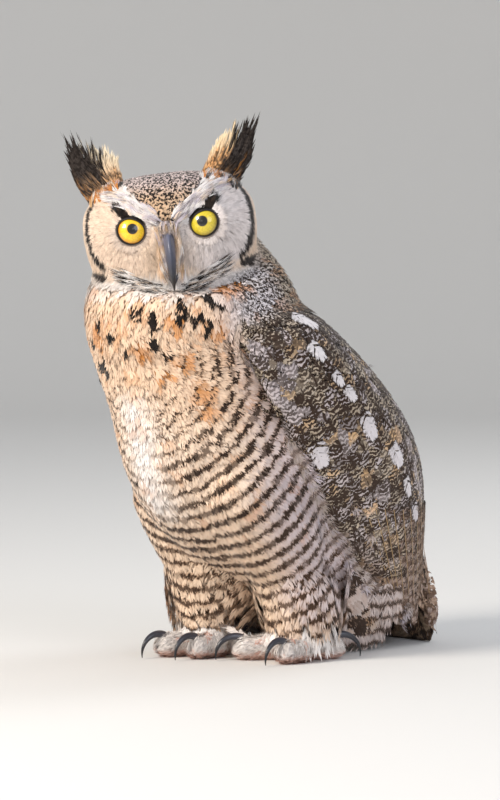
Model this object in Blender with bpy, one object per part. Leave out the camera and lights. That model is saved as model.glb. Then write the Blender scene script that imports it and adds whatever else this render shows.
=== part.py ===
"""Great horned owl, standing, as a still life-size model.

Metres, +Z up. The bird's chest faces -Y, its left side is +X, and the floor is Z = 0.
The head is turned to its left. Every solid gives the outline of the coat, out to the tips of its feathers.
"""

import math

import bmesh
import bpy
import numpy as np
from mathutils import Matrix, Vector

MM = 0.001
GAP = 0.3 * MM  # between solids that touch

# Where the midpoint between the feet stands, so that the whole bird is centred over the origin.
STANCE = Vector((0.0, -13.53, 0.0)) * MM

HEAD_CENTRE = Vector((-1.0, -94.0, 362.4)) * MM
HEAD_YAW = math.radians(44.5)  # to the bird's left
HEAD_ROLL = math.radians(6.5)  # its left side is the higher one
EYE_RADIUS = 14.0 * MM
EYE_SPACING = 59.0 * MM
EYE_FORWARD = 44.5 * MM  # from the head's middle to an eyeball's
EYE_DROP = 2.0 * MM
TUFT_LENGTH = 55.0 * MM
TUFT_LEAN = math.radians(34.0)
TRUNK_TOP = 300.0 * MM
ANKLE_HEIGHT = 44.0 * MM
TOE_LENGTH = 47.0 * MM
TOE_RADIUS = 10.0 * MM
CLAW_RADIUS = 3.6 * MM
CLAW_BEND = 16.0 * MM  # radius of a talon's arc
CLAW_START = 114.0  # degrees above straight ahead, where the talon leaves the toe
CLAW_END = -10.0

RING = 24  # points round a body section
LIMB_RING = 14
TOE_RING = 10
CLAW_RING = 7
BACK_SQUARENESS = 0.76  # the back is broad and flat between the wings, the breast round


# ---------------------------------------------------------------- tools


def clear_scene():
    for obj in list(bpy.data.objects):
        bpy.data.objects.remove(obj, do_unlink=True)


def material(name, colour, roughness, metallic=0.0):
    made = bpy.data.materials.new(name)
    made.use_nodes = True
    shader = made.node_tree.nodes["Principled BSDF"]
    shader.inputs["Base Color"].default_value = (*colour, 1.0)
    shader.inputs["Roughness"].default_value = roughness
    shader.inputs["Metallic"].default_value = metallic
    return made


def through(table, count):
    """The rows of a table as points on a smooth curve through them, sampled at `count` places."""
    rows = np.array(table, float)
    padded = np.vstack([2 * rows[0] - rows[1], rows, 2 * rows[-1] - rows[-2]])
    made = []
    for at in np.linspace(0, len(rows) - 1, count):
        k = min(int(at), len(rows) - 2)
        t = at - k
        a, b, c, d = padded[k : k + 4]
        made.append(
            0.5 * (2 * b + (c - a) * t + (2 * a - 5 * b + 4 * c - d) * t**2 + (3 * b - a - 3 * c + d) * t**3)
        )
    return np.array(made)


def rounded(angle, power):
    """A point on a unit superellipse: power 1 is a circle, and less is squarer."""
    c, s = math.cos(angle), math.sin(angle)
    return (math.copysign(abs(c) ** power, c), math.copysign(abs(s) ** power, s))


def body_ring(z, front, back, half_width, rise=0.0, front_power=1.0, back_power=BACK_SQUARENESS):
    """A section from y = front to y = back, in millimetres, the same on both sides of X = 0.

    It climbs by rise to the nape.
    """
    middle, half_depth = (front + back) / 2, (back - front) / 2
    points = []
    for k in range(RING):
        turn = 2 * math.pi * k / RING
        x, y = rounded(turn, back_power if turn < math.pi else front_power)
        behind_head = y * math.cos(HEAD_YAW) - x * math.sin(HEAD_YAW)
        height = z + rise * (1 + behind_head) / 2
        points.append(Vector((half_width * x, middle + half_depth * y, height)) * MM)
    return points


def solid(name, rings, finish, matrix=None):
    """One closed body skinned over rings of points, which go up or along, counter-clockwise."""
    mesh = bmesh.new()
    loops = [[mesh.verts.new(p) for p in ring] for ring in rings]
    for low, high in zip(loops, loops[1:]):
        for k in range(len(low)):
            n = (k + 1) % len(low)
            mesh.faces.new((low[k], low[n], high[n], high[k]))
    mesh.faces.new(list(reversed(loops[0])))
    mesh.faces.new(loops[-1])
    bmesh.ops.triangulate(mesh, faces=mesh.faces)
    bmesh.ops.recalc_face_normals(mesh, faces=mesh.faces)
    data = bpy.data.meshes.new(name)
    mesh.to_mesh(data)
    mesh.free()
    if matrix is not None:
        data.transform(matrix)
    data.transform(Matrix.Translation(STANCE))
    data.shade_smooth()
    data.materials.append(finish)
    obj = bpy.data.objects.new(name, data)
    bpy.context.scene.collection.objects.link(obj)
    return obj


def cutter_of(obj):
    """A copy of a solid, grown by the gap, for cutting its room out of a neighbour."""
    data = obj.data.copy()
    mesh = bmesh.new()
    mesh.from_mesh(data)
    moves = [v.normal * GAP * min(v.calc_shell_factor(), 1.6) for v in mesh.verts]
    for v, move in zip(mesh.verts, moves):
        v.co += move
    mesh.to_mesh(data)
    mesh.free()
    made = bpy.data.objects.new(obj.name + "_room", data)
    made.hide_render = True
    made.display_type = "WIRE"
    bpy.context.scene.collection.objects.link(made)
    return made


def make_room(obj, *neighbours):
    """Cuts from obj the room of each neighbour that it meets."""
    for neighbour in neighbours:
        bpy.context.view_layer.update()
        cut = obj.modifiers.new("room_for_" + neighbour.name, "BOOLEAN")
        cut.operation = "DIFFERENCE"
        cut.solver = "EXACT"
        cut.object = cutter_of(neighbour)


def tube_rings(path, radii, count, squash=1.0, floor=None):
    """Rings round a path of points. squash flattens them in height, and floor cuts them off level."""
    rings = []
    for k, centre in enumerate(path):
        ahead = path[min(k + 1, len(path) - 1)] - path[max(k - 1, 0)]
        ahead.normalize()
        side = ahead.cross(Vector((0, 0, 1)))
        side = side.normalized() if side.length > 1e-6 else Vector((1, 0, 0))
        up = side.cross(ahead)
        ring = []
        for n in range(count):
            turn = 2 * math.pi * n / count
            point = centre + side * radii[k] * math.cos(turn) + up * radii[k] * squash * math.sin(turn)
            if floor is not None:
                point.z = max(point.z, floor)
            ring.append(point)
        rings.append(ring)
    return rings


def head_matrix():
    """From the head's own axes, where it looks along -Y, to its turned and tilted place."""
    turn = Matrix.Rotation(HEAD_YAW, 4, "Z") @ Matrix.Rotation(-HEAD_ROLL, 4, "Y")
    return Matrix.Translation(HEAD_CENTRE) @ turn


# ---------------------------------------------------------------- finishes

BUFF = material("buff_feathers", (0.72, 0.55, 0.40), 0.9)
MOTTLED = material("mottled_feathers", (0.22, 0.16, 0.11), 0.9)
FACE = material("face_feathers", (0.75, 0.68, 0.60), 0.9)
TUFT = material("tuft_feathers", (0.10, 0.07, 0.05), 0.9)
LEG = material("leg_feathers", (0.80, 0.66, 0.52), 0.9)
HORN = material("horn", (0.05, 0.05, 0.06), 0.35)
IRIS = material("eye", (0.90, 0.62, 0.05), 0.1)


# ---------------------------------------------------------------- trunk and neck


def make_trunk():
    """Level sections from under the tail coverts to the shoulders: z, front, back, half width."""
    sections = [
        (8, 34, 120, 50),
        (24, 24, 131, 59),
        (45, 4, 138, 62),
        (70, -30, 140, 64),
        (95, -70, 138, 69),
        (130, -106, 134, 78),
        (165, -124, 122, 87),
        (200, -131, 101, 91),
        (235, -143, 77, 93),
        (265, -156, 52, 92),
        (285, -161, 29, 88),
        (TRUNK_TOP / MM, -161, 12, 83),
    ]
    rings = [body_ring(*row) for row in through(sections, 18)]
    return solid("trunk", rings, BUFF)


def make_neck(*neighbours):
    """The collar of feathers round the head's base, higher at the nape: z, front, back, half width, rise."""
    sections = [
        ((TRUNK_TOP + GAP) / MM, -161, 12, 83, 0),
        (305, -156, 4, 79, 22),
        (308, -147, -8, 72, 44),
        (309, -135, -20, 62, 66),
    ]
    rings = [body_ring(*row) for row in through(sections, 7)]
    neck = solid("neck", rings, BUFF)
    make_room(neck, *neighbours)
    return neck


# ---------------------------------------------------------------- head


def make_head():
    """Sections level in the head's own axes: height, front, back, half width."""
    sections = [
        (-63, -30, 34, 30),
        (-54, -46, 46, 50),
        (-38, -55, 56, 64),
        (-14, -58, 61, 70.5),
        (8, -57, 62, 70.5),
        (20, -50, 60, 66),
        (31, -38, 54, 55),
        (38.5, -22, 42, 38),
        (41.5, -6, 24, 16),
    ]
    rings = [body_ring(*row, 0.0, 0.88, 0.88) for row in through(sections, 13)]
    return solid("head", rings, FACE, head_matrix())


def eye_place(side):
    """An eyeball's centre in the head's own axes. side is 1 for the left and -1 for the right."""
    return Vector((side * EYE_SPACING / 2, -EYE_FORWARD, -EYE_DROP))


def make_eye(name, side):
    rings = []
    rows, columns = 9, 14
    for k in range(rows + 1):
        turn = math.pi * (0.03 + 0.94 * k / rows)
        rings.append(
            [
                eye_place(side)
                + EYE_RADIUS
                * Vector(
                    (
                        math.sin(turn) * math.cos(2 * math.pi * n / columns),
                        math.sin(turn) * math.sin(2 * math.pi * n / columns),
                        -math.cos(turn),
                    )
                )
                for n in range(columns)
            ]
        )
    return solid(name, rings, IRIS, head_matrix())


def bill_rings(path, half_widths, depths, count=10):
    rings = []
    for k, (y, z) in enumerate(path):
        before, after = path[max(k - 1, 0)], path[min(k + 1, len(path) - 1)]
        along = Vector((0, after[0] - before[0], after[1] - before[1])).normalized()
        out = Vector((0, along.z, -along.y))
        ring = []
        for n in range(count):
            c, s = rounded(2 * math.pi * n / count, 1.0)
            ring.append((Vector((half_widths[k] * c, y, z)) + out * depths[k] * s) * MM)
        rings.append(ring)
    return rings


def make_upper_bill():
    """Path of the bill's middle as (y, z), with its half width and half depth, in millimetres."""
    rows = through(
        [
            (-52, 0, 5.0, 5.5),
            (-60, -9, 6.2, 7.5),
            (-65, -20, 6.2, 7.6),
            (-67.5, -32, 5.0, 6.2),
            (-67, -43, 3.2, 4.2),
            (-63.5, -53, 0.8, 0.9),
        ],
        10,
    )
    return solid("bill_upper", bill_rings(rows[:, :2].tolist(), rows[:, 2], rows[:, 3]), HORN, head_matrix())


def make_lower_bill(upper):
    rows = through([(-50, -38, 5.0, 3.5), (-56, -43, 4.2, 3.2), (-60, -48, 1.4, 1.2)], 6)
    rings = bill_rings(rows[:, :2].tolist(), rows[:, 2], rows[:, 3])
    bill = solid("bill_lower", rings, HORN, head_matrix())
    make_room(bill, upper)
    return bill


def make_tuft(name, side, head):
    """A horn of long feathers: broad at the root, thin, swept out and a little back to its point."""
    rows = through(
        [
            (-0.16, 9.0, 6.0),
            (0.10, 13.5, 8.0),
            (0.40, 14.5, 7.0),
            (0.72, 10.5, 4.8),
            (0.93, 5.5, 3.0),
            (1.0, 1.6, 1.2),
        ],
        12,
    )
    root = Vector((side * 45, 2, 33)) * MM
    lean = Vector((side * math.sin(TUFT_LEAN), 0.10, math.cos(TUFT_LEAN))).normalized()
    across = Vector((math.cos(TUFT_LEAN), 0, -side * math.sin(TUFT_LEAN)))
    through_it = lean.cross(across)
    rings = []
    for share, half_width, half_depth in rows:
        centre = root + lean * TUFT_LENGTH * share + Vector((side * 4, 3, 0)) * MM * share * share
        ring = []
        for n in range(TOE_RING):
            c, s = rounded(2 * math.pi * n / TOE_RING, 1.0)
            ring.append(centre + across * half_width * MM * c + through_it * half_depth * MM * s)
        rings.append(ring)
    tuft = solid(name, rings, TUFT, head_matrix())
    make_room(tuft, head)
    return tuft


# ---------------------------------------------------------------- wings and tail

# Stations down the folded left wing, in millimetres: its front edge, its rear edge, the bulge of
# its outer face and the half thickness of its middle.
WING_STATIONS = [
    ((70, -96, 292), (46, -10, 306), 12, 9),
    ((86, -100, 272), (56, 12, 290), 21, 12),
    ((94, -92, 242), (62, 48, 262), 26, 13),
    ((96, -68, 208), (64, 90, 226), 28, 13),
    ((94, -36, 176), (58, 127, 188), 30, 12),
    ((86, -6, 140), (49, 152, 152), 28, 10),
    ((76, 28, 104), (40, 163, 118), 24, 8),
    ((66, 66, 70), (33, 168, 82), 18, 6),
    ((56, 102, 40), (28, 171, 48), 11, 4.5),
    ((48, 132, 16), (30, 167, 20), 5, 3),
]


def wing_rings(side):
    flat = [(*front, *rear, bulge, thick) for front, rear, bulge, thick in WING_STATIONS]
    rings = []
    outer = 7
    for row in through(flat, 17):
        front, rear = Vector(row[0:3]), Vector(row[3:6])
        bulge, thick = row[6], row[7]
        chord = rear - front
        out = Vector((1, -chord.x / max(chord.y, 1e-6), 0)).normalized()
        ring = []
        for k in range(outer + 1):
            share = k / outer
            arch = math.sin(math.pi * share)
            swell = 0.35 + 0.65 * arch
            ring.append(front + chord * share + out * (bulge * arch + thick * swell))
        for k in range(outer, -1, -1):
            share = k / outer
            arch = math.sin(math.pi * share)
            swell = 0.35 + 0.65 * arch
            ring.append(front + chord * share + out * (bulge * arch - thick * swell))
        rings.append([Vector((side * p.x, p.y, p.z)) * MM for p in ring])
    return rings


def make_wing(name, side, *neighbours):
    wing = solid(name, wing_rings(side), MOTTLED)
    make_room(wing, *neighbours)
    return wing


def make_tail(*neighbours):
    """The folded tail, hanging to the floor: middle y and z, half width and half thickness."""
    rows = through(
        [
            (126, 150, 32, 9),
            (145, 124, 39, 9),
            (160, 90, 44, 8),
            (171, 50, 47, 7),
            (177, 18, 47, 6),
            (178, 0, 45, 5),
        ],
        9,
    )
    rings = []
    for y, z, half_width, half_depth in rows:
        ring = []
        for n in range(LIMB_RING):
            c, s = rounded(2 * math.pi * n / LIMB_RING, 0.8)
            arch = 6.0 * (1 - c * c)
            ring.append(Vector((half_width * c, y + half_depth * s + arch, z)) * MM)
        rings.append(ring)
    tail = solid("tail", rings, MOTTLED)
    make_room(tail, *neighbours)
    return tail


# ---------------------------------------------------------------- legs and feet

# The ankle over each foot: the right foot stands ahead of the left one. The thighs are side by side.
FOOT_PLACES = {"right": Vector((-34, -16, 0)) * MM, "left": Vector((40, 12, 0)) * MM}
THIGH_PLACES = {"right": Vector((-44, -32, 0)) * MM, "left": Vector((50, -40, 0)) * MM}
# Two toes point ahead and two back. Each has its root beside the ankle, in millimetres to the bird's left,
# its heading in degrees from straight ahead towards the left, and its share of a toe's full length.
TOES = {
    "right": [(-6, -7, 1.02), (18, -2, 0.81), (-10, -140, 0.74), (8, 168, 0.62)],
    "left": [(-6, -27, 1.02), (18, 2, 0.81), (8, 152, 0.70), (-9, -168, 0.62)],
}


def limb(name, foot, thigh, sections, count, *neighbours):
    """Level sections of a leg: z, the share of the way from foot to thigh, half width and half depth."""
    rings = []
    for z, share, half_width, half_depth in through(sections, count):
        centre = foot.lerp(thigh, share) + Vector((0, 0, z)) * MM
        ring = []
        for n in range(LIMB_RING):
            c, s = rounded(2 * math.pi * n / LIMB_RING, 1.0)
            ring.append(centre + Vector((half_width * c, half_depth * s, 0)) * MM)
        rings.append(ring)
    made = solid(name, rings, LEG)
    make_room(made, *neighbours)
    return made


def make_leg(name, foot, thigh, *neighbours):
    """The feathered thigh, down to the ankle."""
    sections = [
        (ANKLE_HEIGHT / MM, 0.0, 23, 25),
        (60, 0.15, 26, 30),
        (86, 0.45, 32, 40),
        (112, 0.75, 38, 50),
        (140, 1.0, 38, 56),
        (168, 1.0, 30, 50),
        (186, 1.0, 18, 34),
    ]
    return limb(name, foot, thigh, sections, 9, *neighbours)


def make_shank(name, foot, thigh, *neighbours):
    sections = [
        (8, 0.0, 19, 25),
        (20, 0.0, 20, 24),
        (32, 0.0, 21, 23),
        ((ANKLE_HEIGHT - GAP) / MM, 0.0, 23, 25),
    ]
    return limb(name, foot, thigh, sections, 4, *neighbours)


def toe_heading(degrees):
    turn = math.radians(degrees)
    return Vector((math.sin(turn), -math.cos(turn), 0))


def make_toe(name, root, degrees, share, *neighbours):
    """A feathered toe with a flat sole at the floor."""
    ahead, length = toe_heading(degrees), TOE_LENGTH * share
    # share of the length, radius and height of the toe's middle, in toe radii
    stations = [
        (0.10, 1.20, 1.05),
        (0.28, 1.25, 1.08),
        (0.48, 1.15, 1.00),
        (0.64, 1.02, 0.92),
        (0.80, 1.05, 1.00),
        (0.93, 0.98, 1.18),
        (1.00, 0.70, 1.32),
    ]
    radii = [TOE_RADIUS * radius for _, radius, _ in stations]
    path = []
    for along, _, high in stations:
        path.append(root + ahead * length * along + Vector((0, 0, TOE_RADIUS * high)))
    toe = solid(name, tube_rings(path, radii, TOE_RING, floor=0.0), LEG)
    make_room(toe, *neighbours)
    return toe


def make_claw(name, root, degrees, share, toe):
    """A talon: out of the toe's upper end, over and down in one arc to its point above the floor."""
    ahead = toe_heading(degrees)
    low = CLAW_BEND * math.sin(math.radians(-CLAW_END)) + 1.0 * MM
    middle = root + ahead * (TOE_LENGTH * share + 1.5 * MM) + Vector((0, 0, low))
    path, radii = [], []
    steps = 7
    for k in range(steps + 1):
        part = k / steps
        turn = math.radians(CLAW_START + (CLAW_END - CLAW_START) * part)
        path.append(middle + (ahead * math.cos(turn) + Vector((0, 0, math.sin(turn)))) * CLAW_BEND)
        radii.append(CLAW_RADIUS * (1.0 - 0.85 * part**1.6))
    claw = solid(name, tube_rings(path, radii, CLAW_RING, floor=0.0), HORN)
    make_room(claw, toe)
    return claw


# ---------------------------------------------------------------- the whole bird


def make_owl():
    head = make_head()
    eyes = [make_eye("eye_left", 1), make_eye("eye_right", -1)]
    bill = make_upper_bill()
    make_room(head, *eyes, bill)
    lower = make_lower_bill(bill)
    make_room(head, lower)
    make_tuft("ear_tuft_left", 1, head)
    make_tuft("ear_tuft_right", -1, head)
    neck = make_neck(head, bill, lower)
    trunk = make_trunk()
    make_room(trunk, head)
    legs = {}
    for side_name in ("right", "left"):
        foot, thigh = FOOT_PLACES[side_name], THIGH_PLACES[side_name]
        legs[side_name] = make_leg(f"leg_{side_name}", foot, thigh, trunk)
        shank = make_shank(f"shank_{side_name}", foot, thigh, trunk)
        toes = []
        for k, (aside, degrees, share) in enumerate(TOES[side_name]):
            root = foot + Vector((aside * MM, 0, 0))
            toe = make_toe(f"toe_{side_name}_{k + 1}", root, degrees, share, shank, *toes)
            toes.append(toe)
            claw = make_claw(f"claw_{side_name}_{k + 1}", root, degrees, share, toe)
            if abs(degrees) > 90:
                make_room(trunk, toe, claw)
    wings = [
        make_wing(f"wing_{side_name}", side, trunk, neck, head, legs[side_name])
        for side_name, side in (("right", -1), ("left", 1))
    ]
    make_tail(trunk, *wings)


clear_scene()
make_owl()
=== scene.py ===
"""A great horned owl, standing with its head turned to its left: skin, coat, horn and eyes round the frame.

Metres, +Z up. The breast faces -Y, the bird's own left is +X, and the floor is Z = 0.
"""

import math

import bmesh
import bpy
import numpy as np
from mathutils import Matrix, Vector, noise
from mathutils.bvhtree import BVHTree


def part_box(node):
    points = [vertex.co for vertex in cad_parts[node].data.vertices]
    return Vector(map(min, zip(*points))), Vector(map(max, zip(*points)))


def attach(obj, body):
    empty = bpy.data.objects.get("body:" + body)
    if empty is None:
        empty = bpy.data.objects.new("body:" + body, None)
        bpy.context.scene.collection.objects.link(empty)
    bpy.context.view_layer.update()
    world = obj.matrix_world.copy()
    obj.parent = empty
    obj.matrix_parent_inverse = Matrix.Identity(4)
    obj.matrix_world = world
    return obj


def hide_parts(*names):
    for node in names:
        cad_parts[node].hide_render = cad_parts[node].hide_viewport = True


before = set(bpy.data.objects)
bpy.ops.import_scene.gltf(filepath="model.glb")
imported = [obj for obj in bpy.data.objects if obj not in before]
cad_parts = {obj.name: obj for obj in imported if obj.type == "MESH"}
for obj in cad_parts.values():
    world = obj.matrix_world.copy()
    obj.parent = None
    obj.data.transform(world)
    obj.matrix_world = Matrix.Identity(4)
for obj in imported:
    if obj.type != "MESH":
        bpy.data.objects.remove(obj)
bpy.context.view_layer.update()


# ---------------------------------------------------------------- studio
# A pale floor that sweeps up into a pale wall all round, a big soft lamp at the bird's left front, a weaker
# cool one from its other side and one from behind. The camera looks at the bird's left front, a little down.

VIEW_AZIMUTH = math.radians(45)
VIEW_ELEVATION = math.radians(3)
VIEW_DISTANCE = 3.0
VIEW_HEIGHT = 0.672  # what the camera takes in at the bird, from bottom to top
VIEW_CENTRE = 0.215  # height of what it looks at, measured square to the view
SENSOR = 36
FOOT_MIDDLE_Y = 0.5 * (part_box("shank_left")[0][1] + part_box("shank_right")[1][1])
LAMPS_AIM = Vector((0, 0, 0.22))
FLOOR_RADIUS = 3.6
BEND_RADIUS = 1.2
WALL_HEIGHT = 3.0


def link(name, data):
    obj = bpy.data.objects.new(name, data)
    bpy.context.scene.collection.objects.link(obj)
    return obj


def place_facing(obj, place, direction):
    obj.location = place
    obj.rotation_mode = "QUATERNION"
    obj.rotation_quaternion = direction.to_track_quat("-Z", "Y")


def add_camera():
    level = math.cos(VIEW_ELEVATION)
    back = Vector((math.sin(VIEW_AZIMUTH) * level, -math.cos(VIEW_AZIMUTH) * level, math.sin(VIEW_ELEVATION)))
    right = Vector((math.cos(VIEW_AZIMUTH), math.sin(VIEW_AZIMUTH), 0))
    lens = bpy.data.cameras.new("camera")
    lens.sensor_width = SENSOR
    lens.lens = SENSOR * VIEW_DISTANCE / VIEW_HEIGHT
    lens.clip_end = 50
    camera = link("camera", lens)
    looked_at = Vector((0, FOOT_MIDDLE_Y, 0)) + back.cross(right) * VIEW_CENTRE
    place_facing(camera, looked_at + back * VIEW_DISTANCE, -back)
    bpy.context.scene.camera = camera


def add_lamp(name, place, size, watts, colour):
    lamp = bpy.data.lights.new(name, "AREA")
    lamp.shape = "DISK"
    lamp.size = size
    lamp.energy = watts
    lamp.color = colour
    place_facing(link(name, lamp), place, LAMPS_AIM - Vector(place))


def columns(*parts):
    """Points, directions or corners from their parts, each a number or an array of numbers."""
    return np.stack(np.broadcast_arrays(*parts), axis=-1)


def mesh_from(name, points, corners):
    """A smooth mesh of triangles."""
    data = bpy.data.meshes.new(name)
    data.vertices.add(len(points))
    data.vertices.foreach_set("co", np.ascontiguousarray(points, np.float32).ravel())
    data.loops.add(corners.size)
    data.loops.foreach_set("vertex_index", corners.ravel().astype(np.int32))
    data.polygons.add(len(corners))
    data.polygons.foreach_set("loop_start", np.arange(0, corners.size, 3, dtype=np.int32))
    data.update(calc_edges=True)
    data.shade_smooth()
    return data


def turned(radius, height, count):
    """Rings of points round an upright axis, from the radius and height of each ring or of each point."""
    turn = np.linspace(0, 2 * math.pi, count, endpoint=False)
    return columns(radius * np.cos(turn), radius * np.sin(turn), height)


def tube_mesh(name, rings, caps=()):
    """A mesh through rings of points. Each cap closes a ring, given by its number and which way it faces."""
    count = rings.shape[1]
    here = np.arange(count)
    beside = np.roll(here, -1)
    corners = []
    for start in range(0, (len(rings) - 1) * count, count):
        a, b = start + here, start + beside
        corners.append(columns(a, b, b + count, a, b + count, a + count).reshape(-1, 3))
    for ring, facing in caps:
        start = ring % len(rings) * count
        corners.append([(start, start + k, start + k + 1)[::facing] for k in range(1, count - 1)])
    return mesh_from(name, rings.reshape(-1, 3), np.concatenate(corners))


def add_floor():
    bend = np.linspace(math.pi / 2, 0.15, 10)
    sweep_radius = FLOOR_RADIUS + BEND_RADIUS * np.sin(bend)
    sweep_height = BEND_RADIUS - BEND_RADIUS * np.cos(bend)
    radius = np.array([FLOOR_RADIUS + BEND_RADIUS, *sweep_radius, FLOOR_RADIUS, 2.0])[:, None]
    height = np.array([WALL_HEIGHT, *sweep_height, 0, 0])[:, None]
    data = tube_mesh("floor", turned(radius, height, 96), caps=[(-1, 1)])
    paper = bpy.data.materials.new("pale_paper")
    paper.use_nodes = True
    shader = paper.node_tree.nodes["Principled BSDF"]
    shader.inputs["Base Color"].default_value = (0.80, 0.785, 0.76, 1)
    shader.inputs["Roughness"].default_value = 0.9
    data.materials.append(paper)
    link("floor", data)


bpy.context.scene.view_settings.view_transform = "Standard"
add_camera()
add_lamp("key", (-0.3, -2.2, 1.5), 0.9, 62, (1.0, 0.93, 0.84))
add_lamp("fill", (2.5, -0.5, 1.3), 1.6, 20, (0.80, 0.86, 1.0))
add_lamp("rim", (0.2, 2.2, 2.0), 1.4, 22, (0.95, 0.97, 1.0))
add_floor()
world = bpy.data.worlds.new("studio")
world.use_nodes = True
world.node_tree.nodes["Background"].inputs["Color"].default_value = (0.80, 0.84, 0.90, 1)
world.node_tree.nodes["Background"].inputs["Strength"].default_value = 0.55
bpy.context.scene.world = world


# ---------------------------------------------------------------- skin
# One thin skin over the whole bird, from crown to toes, stretched over the flesh of every part. It lies
# under the coat by the coat's depth: deep on the belly, and hardly any on the toes and the wing's edges.

MM = 0.001
VOXEL = 2.7 * MM
SIDES = (("left", 1), ("right", -1))
PARTS = ["head", "neck", "trunk", "wing_left", "wing_right", "tail", "leg_left", "leg_right", "shank_left",
         "shank_right"] + [f"toe_{side}_{k}" for side, _ in SIDES for k in (1, 2, 3, 4)]
# Each kind of part has the depth of its coat in millimetres, and how often its skin is smoothed.
KINDS = {"head": (3.0, 4), "neck": (6.0, 14), "trunk": (6.0, 14), "wing": (3.4, 8), "tail": (2.2, 5),
         "leg": (5.0, 14), "shank": (3.2, 8), "toe": (1.9, 3)}
KIND_NAMES = list(KINDS)
kind_of_part = np.array([KIND_NAMES.index(part.split("_")[0]) for part in PARTS])


def middle(node):
    low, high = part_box(node)
    return np.array((low + high) / 2)


def dot(a, b):
    return np.sum(a * b, axis=-1, keepdims=True)


def unit(vectors):
    return vectors / np.maximum(np.linalg.norm(vectors, axis=-1, keepdims=True), 1e-9)


HEAD_X = unit(middle("eye_left") - middle("eye_right"))
HEAD_Y = unit(np.array((-HEAD_X[1], HEAD_X[0], 0.0)))
HEAD_Z = np.cross(HEAD_X, HEAD_Y)
HEAD_AXES = np.stack((HEAD_X, HEAD_Y, HEAD_Z), axis=1)
EYE_FORWARD = 44.5 * MM  # from the head's middle to the eyes
EYE_DROP = 2 * MM
EYE_ASIDE = 0.5 * np.linalg.norm(middle("eye_left") - middle("eye_right"))
EYE_RADIUS = 0.5 * (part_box("eye_left")[1][2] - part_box("eye_left")[0][2])
LID_AHEAD = 6.6 * MM  # how far ahead of the eyeball's middle the lids meet it
FACE_FRONT = -24 * MM
JOIN_DROP = 52 * MM  # from the head's middle down to where the neck joins it
FLESH_SHARE = 0.36  # how much of thin flesh the coat may take
HEAD_MIDDLE = 0.5 * (middle("eye_left") + middle("eye_right")) + EYE_FORWARD * HEAD_Y + EYE_DROP * HEAD_Z


def head_local(points):
    return (points - HEAD_MIDDLE) @ HEAD_AXES


def from_head(local):
    """Places in the world, from places round the head's middle in millimetres."""
    return HEAD_MIDDLE + local * MM @ HEAD_AXES.T


def numbers(items, name, width=3, kind=float):
    """What a mesh holds for each of its points, edges or triangles."""
    values = np.empty(len(items) * width, kind)
    items.foreach_get(name, values)
    return values.reshape(-1, width)


def read_mesh(data):
    """A mesh's points and its faces as triangles."""
    data.calc_loop_triangles()
    return numbers(data.vertices, "co"), numbers(data.loop_triangles, "vertices", 3, int)


def move_points(data, at):
    """Moves a mesh's points, and gives its new normals."""
    data.vertices.foreach_set("co", at.ravel())
    data.update()
    return numbers(data.vertices, "normal")


def step(value, low, high):
    """0 below low, 1 above high, and smooth between. high may be the lower one."""
    t = np.clip((value - low) / (high - low), 0, 1)
    return t * t * (3 - 2 * t)


def join_parts(grow):
    """Every fleshy solid in one mesh, each a little fatter, with the part that each face comes from."""
    points, corners, labels, base = [], [], [], 0
    for number, name in enumerate(PARTS):
        form = bmesh.new()
        form.from_mesh(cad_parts[name].data)
        bmesh.ops.remove_doubles(form, verts=form.verts, dist=0.01 * MM)
        bmesh.ops.triangulate(form, faces=form.faces)
        form.normal_update()
        points += [v.co + v.normal * grow for v in form.verts]
        form.verts.index_update()
        corners += [[v.index + base for v in f.verts] for f in form.faces]
        labels += [number] * len(form.faces)
        base = len(points)
        form.free()
    return points, corners, np.array(labels)


def relaxed(values, edges, share, rounds):
    """Values on the points of a mesh, drawn towards the mean of their neighbours."""
    values = values.astype(float)
    share = np.broadcast_to(np.asarray(share, float), len(values))
    count = np.maximum(np.bincount(edges.ravel(), minlength=len(values)), 1)
    table = values.reshape(len(values), -1)
    for _ in range(rounds):
        for c in range(table.shape[1]):
            total = np.bincount(edges[:, 0], table[edges[:, 1], c], len(values))
            total += np.bincount(edges[:, 1], table[edges[:, 0], c], len(values))
            table[:, c] += (total / count - table[:, c]) * share
    return table.reshape(values.shape)


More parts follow.
